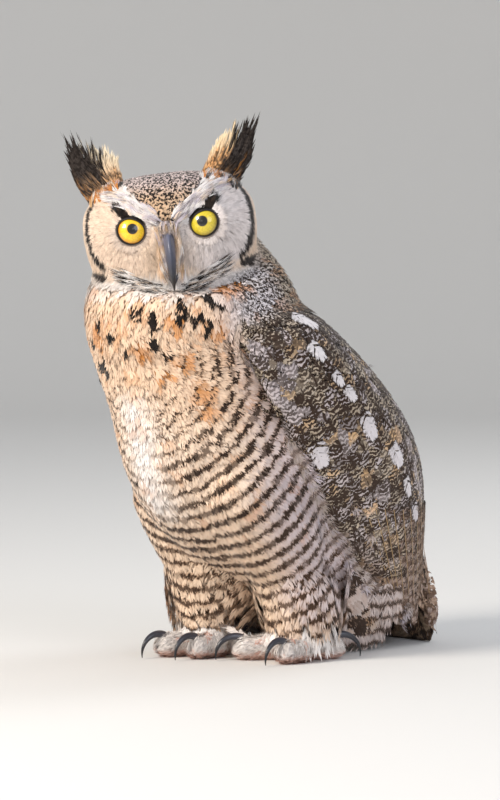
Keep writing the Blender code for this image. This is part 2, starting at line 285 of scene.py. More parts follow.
def make_skin():
    """The skin's mesh, its edges, and for each point its normal, its kind of part and the coat's depth."""
    points, corners, labels = join_parts(0.6 * MM)
    part_tree = BVHTree.FromPolygons(points, corners)
    form_data = bpy.data.meshes.new("skin_form")
    form_data.from_pydata(points, [], corners)
    form = link("skin_form", form_data)
    remesh = form.modifiers.new("run_together", "REMESH")
    remesh.mode = "VOXEL"
    remesh.voxel_size = VOXEL
    data = bpy.data.meshes.new_from_object(form.evaluated_get(bpy.context.evaluated_depsgraph_get()))
    bpy.data.objects.remove(form, do_unlink=True)
    data.name = "skin"

    at = numbers(data.vertices, "co")
    edges = numbers(data.edges, "vertices", 2, int)
    kind = kind_of_part[labels[[part_tree.find_nearest(p)[2] for p in at.tolist()]]]
    rounds = np.array([rounds for _, rounds in KINDS.values()])[kind]
    # The join of head and neck is smoothed most.
    rounds = np.where(np.abs(head_local(at)[:, 2] + JOIN_DROP) < 12 * MM, 18, rounds)
    for k in range(rounds.max()):
        at = relaxed(at, edges, 0.5 * (rounds > k), 1)

    depth = relaxed(np.array([depth for depth, _ in KINDS.values()])[kind] * MM, edges, 0.6, 10)
    # Round each eye the skin comes forward in a fold, up to the lid.
    for side in (-1, 1):
        x, y, z = head_local(at).T
        reach = np.hypot(x - side * EYE_ASIDE, z + EYE_DROP)
        front = y < FACE_FRONT
        lid = -(EYE_FORWARD + LID_AHEAD) + 0.34 * np.maximum(reach - 13.2 * MM, 0)
        fold = step(reach, 27 * MM, 15 * MM) * step(reach, 12.6 * MM, 13.6 * MM) * front
        raised = np.minimum(y, y + (lid - y) * fold)
        near_lid = step(reach, 18.5 * MM, 15 * MM) * front
        raised = np.maximum(raised, raised + (lid - raised) * near_lid)
        at = at + (raised - y)[:, None] * HEAD_Y
        depth = depth * (1 - 0.75 * step(reach, 24 * MM, 14 * MM) * front)

    normal = move_points(data, at)
    probe = link("skin_probe", data)
    whole = BVHTree.FromObject(probe, bpy.context.evaluated_depsgraph_get())
    for k, (p, n) in enumerate(zip(at.tolist(), normal.tolist())):
        inward = -Vector(n)
        gap = whole.ray_cast(Vector(p) + inward * 0.5 * MM, inward, 0.03)[3]
        if gap is not None:
            depth[k] = min(depth[k], FLESH_SHARE * (gap + 0.5 * MM))
    bpy.data.objects.remove(probe, do_unlink=True)
    depth = relaxed(depth, edges, 0.5, 3)
    return data, edges, move_points(data, at - normal * depth[:, None]), kind, depth


skin_data, skin_edges, skin_normal, skin_kind, skin_depth = make_skin()
skin_data.shade_smooth()
skin_points, skin_corners = read_mesh(skin_data)
skin_tree = BVHTree.FromPolygons(skin_points.tolist(), skin_corners.tolist())
skin_share = relaxed(np.eye(len(KINDS))[skin_kind], skin_edges, 0.6, 6)
face_normal = unit(skin_normal[skin_corners].mean(axis=1))
face_depth = skin_depth[skin_corners].mean(axis=1)
face_share = skin_share[skin_corners].mean(axis=1)
face_middle = skin_points[skin_corners].mean(axis=1)
face_sides = skin_points[skin_corners[:, 1:]] - skin_points[skin_corners[:, :1]]
face_area = 0.5 * np.linalg.norm(np.cross(face_sides[:, 0], face_sides[:, 1]), axis=1)


def share_of(face, *kinds):
    return sum(face_share[face, KIND_NAMES.index(kind)] for kind in kinds)


def surface(points):
    """The nearest places on the skin to some points, and the triangle that each lies on."""
    found = [skin_tree.find_nearest(p) for p in points.tolist()]
    return np.array([f[0][:] for f in found]), np.array([f[2] for f in found])


# ---------------------------------------------------------------- markings
# What colours the plumage has, from place to place: one rule for the skin and for the coat over it.
# The breast and belly are barred in rings round the crop, the wings are finely waved, the face is pale.


def paint(code):
    """A colour from its usual hexadecimal code, as the light that it sends back."""
    value = np.array([int(code[k:k + 2], 16) / 255 for k in (0, 2, 4)])
    return np.where(value <= 0.04045, value / 12.92, ((value + 0.055) / 1.055) ** 2.4)


CROP = np.array((0.0, -0.1635, 0.285))  # the place that the breast's feathers lie away from
RINGS = np.array((0.012, -0.155, 0.250))  # where the rings of bars on the breast have their middle
BAR_SPACING = 11.8 * MM
RIM = 36.5  # radius of the dark rim of the face, round each eye, in millimetres
EYE_X = EYE_ASIDE / MM

WHITE = paint("F4EFEC")
CREAM = paint("F1DBC6")
PEACH = paint("E9C6A6")
BUFF = paint("D9AE7C")
ORANGE = paint("D28430")
LILAC = paint("CFC5CE")
GREY = paint("9C928F")
DARK = paint("3A2A20")
BLACK = paint("17110E")
WARM_GREY = paint("B9A893")
PALE_TAN = paint("B3946F")
BROWN = paint("5A4232")


def mix(a, b, share):
    share = np.asarray(share)[..., None]
    return a * (1 - share) + b * share


def layered(ground, *layers):
    """A ground with colours laid on it in turn, each (colour, share)."""
    for colour, share in layers:
        ground = mix(ground, colour, share)
    return ground


def crown_edge(z):
    """Half width of the speckled crown at a height, in millimetres: a wedge that comes down to the bill."""
    return 4.0 + 0.80 * (z + 1)


def head_marks(at):
    """Ground and mottle of the head, from places on it."""
    x, y, z = (head_local(at) / MM).T
    aside = np.abs(x)
    rise = np.arctan2(z + 2, aside - EYE_X)
    round_eye = np.hypot(aside - EYE_X, z + 2) - 0.7 * np.sign(x) + 2.6 * np.exp(-(rise / 0.55) ** 2)
    front = step(y, 16, -2)
    disc = front * step(round_eye, RIM + 4, RIM - 2)
    # Painted light and shade: the disc is warm cream and peach on its right side, where the key lamp falls,
    # and cool lilac-white on its left side, in shade.
    disc_lit_and_shaded_tone = mix(mix(CREAM, WHITE, 0.25), mix(LILAC, WHITE, 0.62), 0.7 * step(x, -8, 14))
    bib = step(z, -38, -45) * step(y, 24, 4)
    crown = step(crown_edge(z) - aside, -1.5, 1.5) * step(z, -4, -1)
    crown = np.maximum(crown, step(z, 34, 42) * step(aside, 40, 34))
    crown = np.maximum(crown, step(y, 14, 24) * step(z, -20, 5))
    brow = step(z, -4, 2) * step(crown_edge(z) + 11 - aside, -2, 2) * (1 - crown) * front
    tuft_foot = np.exp(-((aside - 47) / 13) ** 2 - ((z - 30) / 8) ** 2)
    patch = np.exp(-((aside - 35.0) / 7.0) ** 2 - ((z - 12.6 - 0.45 * (aside - 35.0)) / 4.2) ** 2) * front
    span = step(rise, -1.02, -0.80) * step(rise, 0.85, 0.62)
    band = 1.8 + 0.4 * step(x, -5, 5) + 0.25 * np.sin(9 * rise + x / 11)
    rim = np.exp(-((round_eye - RIM) / band) ** 2) * span * step(y, 14, 2)
    ruff = step(round_eye, RIM + 1, RIM + 5) * span * front
    spot = np.exp(-(((aside - 61) / 8) ** 2 + ((z + 36.5) / 4.8) ** 2)) * step(y, 50, 30)
    ground = layered(CREAM, (WARM_GREY, 0.5 * step(y, 10, 40)),
                     (disc_lit_and_shaded_tone, disc),
                     # Painted warm light on the disc's lit right side.
                     (PEACH, 0.38 * disc * step(x, 4, -14)),
                     (GREY, 0.50 * disc * step(round_eye, 23, 13) * step(z, 6, -6)),
                     (PALE_TAN, 0.42 * disc * step(z, -6, -26) * step(aside, 30, 9)),
                     (WHITE, bib), (WHITE, 0.9 * brow),
                     (ORANGE, 0.75 * step(tuft_foot, 0.25, 0.8)),
                     (mix(BUFF, GREY, 0.30), 0.85 * crown),
                     (LILAC, 0.60 * crown * step(z, 16, 34)),
                     (BUFF, 0.25 * ruff))
    solid = np.clip(np.maximum.reduce([1.5 * patch, 1.25 * rim, 2.0 * spot]), 0, 1)
    speckled = np.clip(crown + 0.80 * step(y, 2, 20) + 0.8 * step(tuft_foot, 0.3, 0.9), 0, 1) * (1 - bib)
    return ground, columns(0, speckled, step(solid, 0.35, 0.85))


def body_marks(at):
    """Ground, bars and mottle of the neck, breast, belly and legs, from places on them."""
    x, y, z = (at / MM).T
    away = np.linalg.norm(at - RINGS, axis=1) / MM
    behind = step(y + 0.30 * (z - 150), 20, 60) * step(z, 90, 130)
    behind = np.maximum(behind, step(z, 268, 285) * step(y, -75, -45))
    flank = step(np.abs(x) + 0.45 * (y + 100) + 0.10 * (z - 150), 62, 104) * step(z, 20, 70)
    median = np.exp(-((x + 2) / 17) ** 2) * step(z, 118, 140) * step(z, 240, 215) * step(y, -60, -100)
    ground = layered(mix(CREAM, PEACH, 0.25), (PEACH, 0.6 * step(z, 180, 235)),
                     (mix(LILAC, PEACH, 0.12), 0.85 * flank),
                     (WHITE, 0.95 * median),
                     (BUFF, 0.15 * step(z, 140, 60) * (1 - flank)),
                     (WHITE, 0.8 * step(z, 296, 308) * step(y, -60, -110)),
                     (mix(LILAC, WHITE, 0.6), 0.8 * step(z, 262, 285) * step(y, -125, -95)),
                     (WARM_GREY, behind))
    strength = (0.35 + 0.65 * step(away, 5, 45)) * (1 - 0.97 * median) * (1 - behind) * step(z, 285, 262)
    width = 0.14 + 0.20 * step(away, 35, 110) - 0.07 * step(z, 100, 40)
    speckled = step(z, 266, 280) * step(y, -118, -90)
    bars = columns(away * MM / BAR_SPACING, strength, width)
    return ground, bars, columns(1.15 * behind * step(z, 300, 285), speckled, 0)


def marks(at, face):
    """The ground, the ink on it, bars as (turn, strength, width) and mottle as (waved, speckled, solid)."""
    z = at[:, 2] / MM
    head, wing, tail = (share_of(face, kind) for kind in ("head", "wing", "tail"))
    foot = share_of(face, "toe", "shank") * step(z, 30, 22)
    pad = mix(paint("FBF6F2"), paint("E0A48C"), 0.04 + 0.75 * step(z, 9, 4))
    tail_root = tail * step(z, 88, 122)
    ground, bars, mottle = body_marks(at)
    head_ground, head_mottle = head_marks(at)
    ground = layered(ground, (head_ground, head), (WARM_GREY, wing), (mix(PALE_TAN, GREY, 0.35), tail),
                     (pad, 0.95 * foot))
    mottle = mix(mottle, head_mottle, head)
    mottle[:, 0] = np.maximum.reduce([mottle[:, 0], 1.15 * wing, 0.6 * tail + 0.5 * tail_root])
    bars[:, 1] *= (1 - step(head, 0.2, 0.6)) * (1 - np.maximum(wing, foot))
    bars[:, 1] = np.maximum(bars[:, 1], tail - 0.9 * tail_root)
    bars[:, 0] = np.where(tail > 0.5, z / 24, bars[:, 0])
    bars[:, 2] = np.where(tail > 0.5, 0.45, bars[:, 2])
    return {"ground": ground, "ink": mix(DARK, BLACK, 0.8 * head), "bars": bars, "mottle": mottle}


class Value:
    """A value that a shader works out, used like a number: each sum or product adds a Math node."""

    def __init__(self, socket):
        self.socket = socket
        self.tree = socket.id_data

    def __add__(self, other):
        return maths("ADD", self, other)

    def __sub__(self, other):
        return maths("SUBTRACT", self, other)

    def __rsub__(self, other):
        return maths("SUBTRACT", other, self)

    def __mul__(self, other):
        return maths("MULTIPLY", self, other)

    def __truediv__(self, other):
        return maths("DIVIDE", self, other)


def plug(node, values):
    """Sets a node's sockets, by name or number, to numbers, colours or the values of other nodes."""
    for name, value in values.items():
        if isinstance(value, Value):
            node.id_data.links.new(value.socket, node.inputs[name])
        else:
            node.inputs[name].default_value = (*value, 1) if np.size(value) == 3 else value


def value_of(tree, kind, values, output=0, **settings):
    """What a new node gives."""
    node = tree.nodes.new("ShaderNode" + kind)
    for name, setting in settings.items():
        setattr(node, name, setting)
    plug(node, values)
    return Value(node.outputs[output])


def maths(operation, *values, clamp=False):
    tree = next(value.tree for value in values if isinstance(value, Value))
    return value_of(tree, "Math", dict(enumerate(values)), operation=operation, use_clamp=clamp)


def stored(tree, name, output="Vector"):
    """What the mesh holds under a name."""
    return value_of(tree, "Attribute", {}, output, attribute_name=name)


def noise_at(place, scale, detail):
    return value_of(place.tree, "TexNoise", {"Vector": place, "Scale": scale, "Detail": detail})


def blended(a, b, share):
    return value_of(share.tree, "Mix", {"Factor": share, 6: a, 7: b}, 2, data_type="RGBA")


def scaled(colour, amount):
    return value_of(amount.tree, "VectorMath", {0: colour, "Scale": amount}, operation="SCALE")


def relief(height, strength, depth):
    return value_of(height.tree, "Bump", {"Strength": strength, "Distance": depth, "Height": height})


def plumage_group():
    """The shader group that lays ink on the ground as bars, waves, speckles and solid marks, over barbs."""
    group = bpy.data.node_groups.new("plumage", "ShaderNodeTree")
    usual = {"Barb Contrast": 0.25, "Barb Spacing": 0.45, "Wave Spacing": 3.3, "Speckle Size": 2.2,
             "Ragged": 0.55, "Wander": 2.2, "Chevron": 0.3, "Patchy": 0.0}
    for name, value in usual.items():
        socket = group.interface.new_socket(name, in_out="INPUT", socket_type="NodeSocketFloat")
        socket.default_value = value
    group.interface.new_socket("Color", in_out="OUTPUT", socket_type="NodeSocketColor")
    group.interface.new_socket("Height", in_out="OUTPUT", socket_type="NodeSocketFloat")
    given = {socket.name: Value(socket) for socket in group.nodes.new("NodeGroupInput").outputs}

    def three(name):
        parts = value_of(group, "SeparateXYZ", {0: stored(group, name)}).socket.node.outputs
        return [Value(part) for part in parts]

    def smooth(value, low, high):
        return value_of(group, "MapRange", {"Value": value, "From Min": low, "From Max": high},
                        interpolation_type="SMOOTHSTEP")

    def vane_noise(x, y, detail):
        """Noise laid out by a feather's own length and width, and different on each feather."""
        return noise_at(value_of(group, "CombineXYZ", {0: x, 1: y, 2: apart}), 1.0, detail)

    def vary(value, amount):
        return (value - 0.5) * amount

    along, across, seed = three("vane")
    apart = seed * 37.0
    phase, strength, width = three("bars")
    waved, speckled, solid = three("mottle")
    where = value_of(group, "TexCoord", {}, "Object")

    # Bars, each in a warm halo.
    ragged = vary(vane_noise(along * 0.25, across * 0.8, 2.0), given["Ragged"])
    turn = maths("FRACT", phase + ragged)
    far = maths("ABSOLUTE", turn - 0.5) * 2.0
    broad = width + vary(noise_at(where, 90.0, 2.0), 0.6)
    bar = smooth(far, broad + 0.12, broad - 0.06) * strength
    halo = smooth(far, broad + 0.45, broad) * strength * 0.52

    # Fine waves across the vane.
    wave = maths("MULTIPLY_ADD", maths("ABSOLUTE", across), given["Chevron"], along) / given["Wave Spacing"]
    wave = wave + vane_noise(along * 0.20, across * 0.26, 2.0) * given["Wander"]
    wave = maths("SINE", wave * (2 * math.pi)) + vary(vane_noise(along * 0.35, across * 0.30, 1.0), -2.6)
    wave = wave - vary(noise_at(where, 62.0, 2.0), given["Patchy"])
    pale = maths("SUBTRACT", smooth(wave, 0.10, 0.75), waved - 1.0, clamp=True)
    wave = maths("MULTIPLY", 1.0 - pale, waved, clamp=True)

    # Speckles, and whole dark areas with a ragged edge.
    spots = noise_at(where, maths("DIVIDE", 1000.0, given["Speckle Size"]), 1.5)
    spots = spots + vary(vane_noise(along * 0.9, across * 0.6, 1.0), 0.28)
    spots = smooth(spots, 0.465, 0.54) * speckled
    blot = smooth(solid + ragged * 0.9, 0.35, 0.60)
    mask = maths("MAXIMUM", maths("MAXIMUM", bar, wave), maths("MAXIMUM", spots, blot), clamp=True)

    # Barbs, and all the ink laid on the ground, darkened by the painted shade that the root value holds.
    barbs = vane_noise(along * 0.10, across / given["Barb Spacing"], 2.0)
    shade = vary(barbs, given["Barb Contrast"]) + 1.0
    warm = blended(stored(group, "ground", "Color"), (0.35, 0.17, 0.075), halo)
    tone = blended(warm, stored(group, "ink", "Color"), mask)
    tone = scaled(tone, shade * stored(group, "root", "Fac"))
    plug(group.nodes.new("NodeGroupOutput"), {"Color": tone, "Height": barbs})
    return group


PLUMAGE = plumage_group()


def new_finish(name, values):
    """A new material, its nodes and its shader, with the shader's own values set."""
    finish = bpy.data.materials.new(name)
    finish.use_nodes = True
    shader = finish.node_tree.nodes["Principled BSDF"]
    plug(shader, values)
    return finish, finish.node_tree, shader


def plumage_material(name, roughness=0.8, sheen=0.15, **values):
    """A feather finish: the marks on the mesh, fine barbs, and the soft gloss of a vane."""
    finish, tree, shader = new_finish(name, {"Roughness": roughness, "Specular IOR Level": 0.2,
                                             "Sheen Weight": sheen, "Sheen Roughness": 0.5})
    plumage = tree.nodes.new("ShaderNodeGroup")
    plumage.node_tree = PLUMAGE
    plug(plumage, {key.replace("_", " ").title(): value for key, value in values.items()})
    normal = relief(Value(plumage.outputs["Height"]), 0.25, 0.4 * MM)
    plug(shader, {"Base Color": Value(plumage.outputs["Color"]), "Normal": normal})
    return finish


def store(data, **fields):
    """Keeps values for each point on a mesh, under names that its material reads."""
    for name, values in fields.items():
        single = values.ndim == 1 or values.shape[1] == 1
        attribute = data.attributes.new(name, "FLOAT" if single else "FLOAT_VECTOR", "POINT")
        attribute.data.foreach_set("value" if single else "vector", values.ravel())


def add_piece(name, data, slot, finish, *replaced):
    data.materials.append(finish)
    piece = link(name, data)
    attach(piece, "root")
    if replaced:
        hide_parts(*replaced)
    return piece


skin_face = np.zeros(len(skin_points), int)
skin_face[skin_corners.ravel()] = np.repeat(np.arange(len(skin_corners)), 3)
skin_vane = columns(-skin_points[:, 2], skin_points[:, 0], skin_points[:, 1] * 0.01) / MM
# The root value darkens the skin as painted shade between the feathers, less on the head and toes.
store(skin_data, **marks(skin_points, skin_face), vane=skin_vane,
      root=0.62 + 0.33 * (skin_share[:, 0] + skin_share[:, -1]))
add_piece("skin", skin_data, "breast_feathers", plumage_material("skin_down", sheen=0.1), *PARTS)


# ---------------------------------------------------------------- soft body feathers
# The breast, belly, flanks, neck and thighs: short soft feathers with loose barbs, which lie away from
# the crop all round, each row over the next. Each is a shaft with bunches of barbs on both sides.


def apart_by(at, spacing):
    """Indexes of places that keep at least spacing from each other, taken in their order."""
    cells, kept = {}, []
    near = [(i, j, k) for i in (-1, 0, 1) for j in (-1, 0, 1) for k in (-1, 0, 1)]
    limit = spacing * spacing
    for n, (p, (i, j, k)) in enumerate(zip(at.tolist(), np.floor(at / spacing).astype(int).tolist())):
        beside = (q for di, dj, dk in near for q in cells.get((i + di, j + dj, k + dk), ()))
        if all((p[0] - q[0]) ** 2 + (p[1] - q[1]) ** 2 + (p[2] - q[2]) ** 2 >= limit for q in beside):
            cells.setdefault((i, j, k), []).append(p)
            kept.append(n)
    return np.array(kept, int)


TRIES = 3.2  # places tried at random for each square of the spacing


def scatter(allowed, spacing, rng):
    """Places about spacing apart, in millimetres, all over the triangles allowed."""
    spacing = spacing * MM
    chosen = np.flatnonzero(allowed)
    area = face_area[chosen]
    count = int(TRIES * area.sum() / spacing**2)
    face = rng.choice(chosen, count, p=area / area.sum())
    a, b = rng.random((2, count, 1))
    over = a + b > 1
    a, b = np.where(over, 1 - a, a), np.where(over, 1 - b, b)
    first, second, third = np.moveaxis(skin_points[skin_corners[face]], 1, 0)
    at = first + (second - first) * a + (third - first) * b
    kept = apart_by(at, spacing)
    return at[kept], face[kept]


def side_of(x):
    return np.where(x < 0, -1.0, 1.0)


def head_lie(at):
    """Which way the small feathers of the head lie."""
    x, y, z = (head_local(at) / MM).T
    out = columns(x - side_of(x) * EYE_X, 0, z + 2)
    out[:, 2] -= 3 + 0.3 * step(z, 0, -25) * np.abs(out[:, 2])
    disc = step(y, 14, -4) * step(np.hypot(out[:, 0], out[:, 2]), 50, 42)
    top = np.clip(step(z, 26, 36) + step(crown_edge(z) - np.abs(x), -3, 2) * step(z, -4, 2), 0, 1)
    browed = step(z, -2, 4) * step(crown_edge(z) + 9 - np.abs(x), -3, 1) * (1 - top)
    lie = layered(np.array((0, 0.7, -0.7)), (unit(out), disc),
                  (unit(columns(0.75 * side_of(x), 0.3, 0.60)), browed * step(y, 10, -8)),
                  (unit(columns(0.004 * x, 0.9, 0.75)), top * step(y, 40, 10)))
    return unit(lie) @ HEAD_AXES.T


def lie_of(at, face):
    """Which way feathers lie at some places on the skin."""
    x, y, z = (at / MM).T
    away = at - CROP
    near_crop = np.exp(-(np.linalg.norm(away, axis=1) / (35 * MM)) ** 2)
    foot = np.where(x[:, None] < 0, middle("shank_right"), middle("shank_left"))
    toe = at - foot
    toe[:, 2] = -0.25 * np.linalg.norm(toe[:, :2], axis=1)
    return layered(unit(away), (np.array((0, -0.15, -1)), np.maximum(step(z, 250, 292), near_crop)),
                   (np.array((0, 0.5, -0.85)), step(y, -120, -60) * step(z, 250, 290)),
                   (columns(-0.1 * side_of(x), 0.6, -0.8), share_of(face, "wing")),
                   (np.array((0, 0.25, -0.97)), share_of(face, "tail")),
                   (unit(toe), share_of(face, "toe")),
                   (np.array((0, 0, -1)), share_of(face, "shank")),
                   (head_lie(at), share_of(face, "head")))


def lay(at, face, length, half, rows, rng, stray=0.12, lie=lie_of):
    """Beds for feathers: centre lines that follow the lie over the skin, and how each bends at its sides."""
    length, half = (np.broadcast_to(size, len(at)) * MM for size in (length, half))
    turn = rng.normal(0, stray, len(at))[:, None]
    lines = []
    for _ in range(rows):
        normal = face_normal[face]
        along = lie(at, face)
        flat = unit(along - normal * dot(along, normal))
        square = np.cross(flat, normal)
        along = flat * np.cos(turn) + square * np.sin(turn)
        across = square * np.cos(turn) - flat * np.sin(turn)
        left, right = (surface(at + s * across * half[:, None])[0] for s in (-1, 1))
        lines.append((at, normal, 0.5 * (right - left), 0.5 * (right + left) - at, face_depth[face][:, None]))
        at, face = surface(at + along * (length / (rows - 1))[:, None])
    lines = [np.stack(line, axis=1) for line in zip(*lines)]
    return dict(zip(("centre", "up", "side", "bow", "depth"), lines), length=length, half=half)


class Form:
    """The mesh of one feather: points as (along, across, height), and triangles."""

    def __init__(self, length, half):
        self.length, self.half = length, half
        self.points, self.corners = [], []

    def blade(self, start, end, wide, lift, turns=(0.0, 0.55), widths=(0.6, 1.0)):
        """A bunch of barbs from start to end, both (along, across), that curves towards the feather's tip."""
        (a0, v0), (a1, v1) = start, end
        direction = np.array(((a1 - a0) * self.length, (v1 - v0) * self.half))
        direction /= max(np.linalg.norm(direction), 1e-6)
        da, dv = -direction[1] / self.length * wide, direction[0] / self.half * wide
        base = len(self.points)
        for t, w in zip(turns, widths):
            a, v = a0 + (a1 - a0) * t**1.2, v0 + (v1 - v0) * (1 - (1 - t) ** 1.5)
            self.points += [(a + da * w * s, v + dv * w * s, lift * t) for s in (-0.5, 0.5)]
        self.points.append((a1, v1, lift))
        last = base + 2 * (len(turns) - 1)
        for k in range(base, last, 2):
            self.corners += [(k, k + 1, k + 3), (k, k + 3, k + 2)]
        self.corners.append((last, last + 1, last + 2))

    def done(self):
        return np.array(self.points), np.array(self.corners)


def feather_form(rng, length, half, barbs=15, sweep=0.40, fullness=0.95, fray=0.10, roundness=0.30, lift=0.3):
    """A feather of barbs on both sides of a shaft. Length and half width are in millimetres."""
    form = Form(length, half)
    wide = fullness * (half + 0.7 * length) / barbs
    for j in range(barbs):
        q = (j + 0.5) / barbs
        for s in (-1, 1):
            a1 = roundness + (1 - roundness) * math.sin(q * math.pi / 2) + rng.normal(0, fray)
            v1 = s * math.cos(q * math.pi / 2) ** 0.8 + rng.normal(0, fray)
            a0 = max(0.03, a1 - sweep + 0.10 * q + rng.normal(0, 0.02))
            form.blade((a0, 0), (a1, v1), wide * rng.uniform(0.75, 1.25), rng.uniform(-lift, lift))
    form.blade((0.35, 0), (1.0 + rng.normal(0, fray), rng.normal(0, 0.05)), wide, lift)
    return form.done()


def bristle_form(rng, length, half, blades=5, wide=0.4, lift=0.3):
    """A small tuft of hair-like feathers that spread a little."""
    form = Form(length, half)
    for j in range(blades):
        v = ((j + 0.5) / blades * 2 - 1) * 0.9
        start = (rng.uniform(0.0, 0.2), 0.35 * v)
        end = (rng.uniform(0.75, 1.05), v + rng.normal(0, 0.15))
        form.blade(start, end, wide * rng.uniform(0.8, 1.3), rng.uniform(0, lift))
    return form.done()


def feather_marks(shape, ground, ink=DARK, bars=(0, 0, 0), mottle=(0, 0, 0)):
    """Marks for all the points of some feathers, from numbers that may be the same for many of them."""
    fields = {"ground": ground, "ink": ink, "bars": columns(*bars), "mottle": columns(*mottle)}
    return {name: np.broadcast_to(values, shape) for name, values in fields.items()}


PATCH = 0.003  # size of one feather's patch on the bake map
ABOVE_FLOOR = 0.1 * MM


def coat_piece(name, bed, forms, rng, look, unwrapped, slot, finish, rise=(0.3, 1), camber=0.05, shade=0.86,
               roundness=0.22, noise_share=0.10):
    """A piece of coat: on each bed a feather of a form picked at random, with its marks and its bake map."""
    count, rows = bed["centre"].shape[:2]
    pick = rng.integers(0, len(forms), count)
    seeds = rng.random(count)
    pieces, base = [], 0
    for number, (points, corners) in enumerate(forms):
        mine = np.flatnonzero(pick == number)
        a, v, h = points.T[:, None]
        spot = np.clip(a[0], 0, 1) * (rows - 1)
        low = np.minimum(spot.astype(int), rows - 2)
        share = (spot - low)[:, None]

        def own(values):
            return values[mine][:, None]

        def along(key):
            line = bed[key][mine]
            return line[:, low] * (1 - share) + line[:, low + 1] * share

        centre, up, side, bow, depth = (along(key) for key in ("centre", "up", "side", "bow", "depth"))
        last_step = own(bed["centre"][:, -1] - bed["centre"][:, -2])
        centre = centre + last_step * (np.maximum(a - 1, 0) * (rows - 1))[..., None]
        height = depth[..., 0] * (rise[0] + (rise[1] - rise[0]) * np.clip(a, 0, 1.1) ** 0.8)
        height = height + h * MM - camber * own(bed["half"]) * v**2
        at = centre + side * v[..., None] + bow * (v**2)[..., None] + up * height[..., None]
        normal = up + unit(side) * (roundness * v)[..., None] + rng.normal(0, noise_share, up.shape)
        patch = np.clip(columns(0.5 * v, a - 0.5) * PATCH, -PATCH, PATCH)
        # Painted shade: each feather is darker towards its root, where the feathers over it would shade it;
        # shade is how dark the root is.
        root = np.broadcast_to(shade + (1 - shade) * np.clip(1.6 * a, 0, 1), at.shape[:2])
        starts = base + np.arange(len(mine)) * a.size
        base += len(mine) * a.size
        pieces.append({**look(own, centre, a, v), "root": root[..., None], "at": at, "normal": unit(normal),
                       "vane": columns(a * own(bed["length"]) / MM, v * own(bed["half"]) / MM, own(seeds)),
                       "patch": np.broadcast_to(patch, (*at.shape[:2], 2)),
                       "owner": np.repeat(mine, a.size)[:, None], "corners": starts[:, None, None] + corners})
    fields = {key: np.concatenate([piece[key].reshape(-1, piece[key].shape[-1]) for piece in pieces])
              for key in pieces[0]}
    at, normal, patch, corners = (fields[key] for key in ("at", "normal", "patch", "corners"))
    # A map that needs random numbers draws them after the feathers.
    if callable(unwrapped):
        unwrapped = unwrapped()
    patch = patch + unwrapped[fields["owner"][:, 0]]
    at[:, 2] = np.maximum(at[:, 2], ABOVE_FLOOR)
    data = mesh_from(name, at, corners)
    data.normals_split_custom_set_from_vertices(normal.tolist())
    store(data, **{key: fields[key] for key in ("ground", "ink", "bars", "mottle", "vane", "root")})
    unwrap = data.uv_layers.new(name="OFBake")
    unwrap.data.foreach_set("uv", patch[corners.ravel()].ravel())
    return add_piece(name, data, slot, finish)


def spread(values):
    """Values over 0.01 to 0.99."""
    low, high = values.min(), values.max()
    return 0.01 + 0.98 * (values - low) / max(high - low, 1e-9)


def round_unwrap(at, axis=(0.0, -0.02)):
    """An unwrap round an upright axis."""
    return columns(spread(np.arctan2(at[:, 0] - axis[0], axis[1] - at[:, 1])), spread(at[:, 2]))


def cloud(at, size, shift=0.0):
    """A smooth random number from about -1 to 1 at each place, that changes over a distance of size."""
    return np.array([noise.noise(Vector(p)) for p in (at / size + shift).tolist()]) * 1.6


# Dark wedges of the upper breast: the place of each one's upper end, in millimetres.
WEDGES = np.array([
    (-18, -166, 285), (-49, -150, 286), (37, -159, 286), (34, -158, 272), (40, -150, 258), (51, -133, 304),
    (59, -124, 304), (67, -123, 298), (54, -146, 289), (62, -137, 288), (68, -129, 283), (-4, -167, 276),
    (-62, -136, 262), (-28, -151, 250), (11, -162, 262), (-60, -128, 298), (-70, -115, 286), (-74, -110, 268),
    (20, -165, 292), (3, -166, 256), (-38, -152, 270), (-66, -124, 240), (52, -136, 270)])
# Orange patches of the breast: place and size, in millimetres.
EMBERS = [(50, -140, 255, 9), (50, -149, 281, 8), (-23, -162, 274, 9), (53, -125, 229, 10),
          (61, -108, 308, 9), (33, -145, 241, 7), (23, -157, 260, 8), (66, -95, 310, 8), (70, -124, 275, 6),
          (-22, -163, 262, 8), (-50, -146, 268, 9), (-66, -120, 280, 9), (-45, -128, 240, 9),
          (55, -120, 214, 8), (-60, -118, 225, 8)]


def near_any(at, places):
    """1 beside any of some places, given in millimetres with a size, falling to 0 at about that size."""
    places = np.array(places, float)
    gap = np.linalg.norm(at[..., None, :] / MM - places[:, :3], axis=-1) / places[:, 3]
    return np.exp(-(gap**2)).max(axis=-1)


def ring_turn(at):
    """How many bars there are from the middle of the breast's rings out to each place."""
    return np.linalg.norm(at - RINGS, axis=-1) / BAR_SPACING


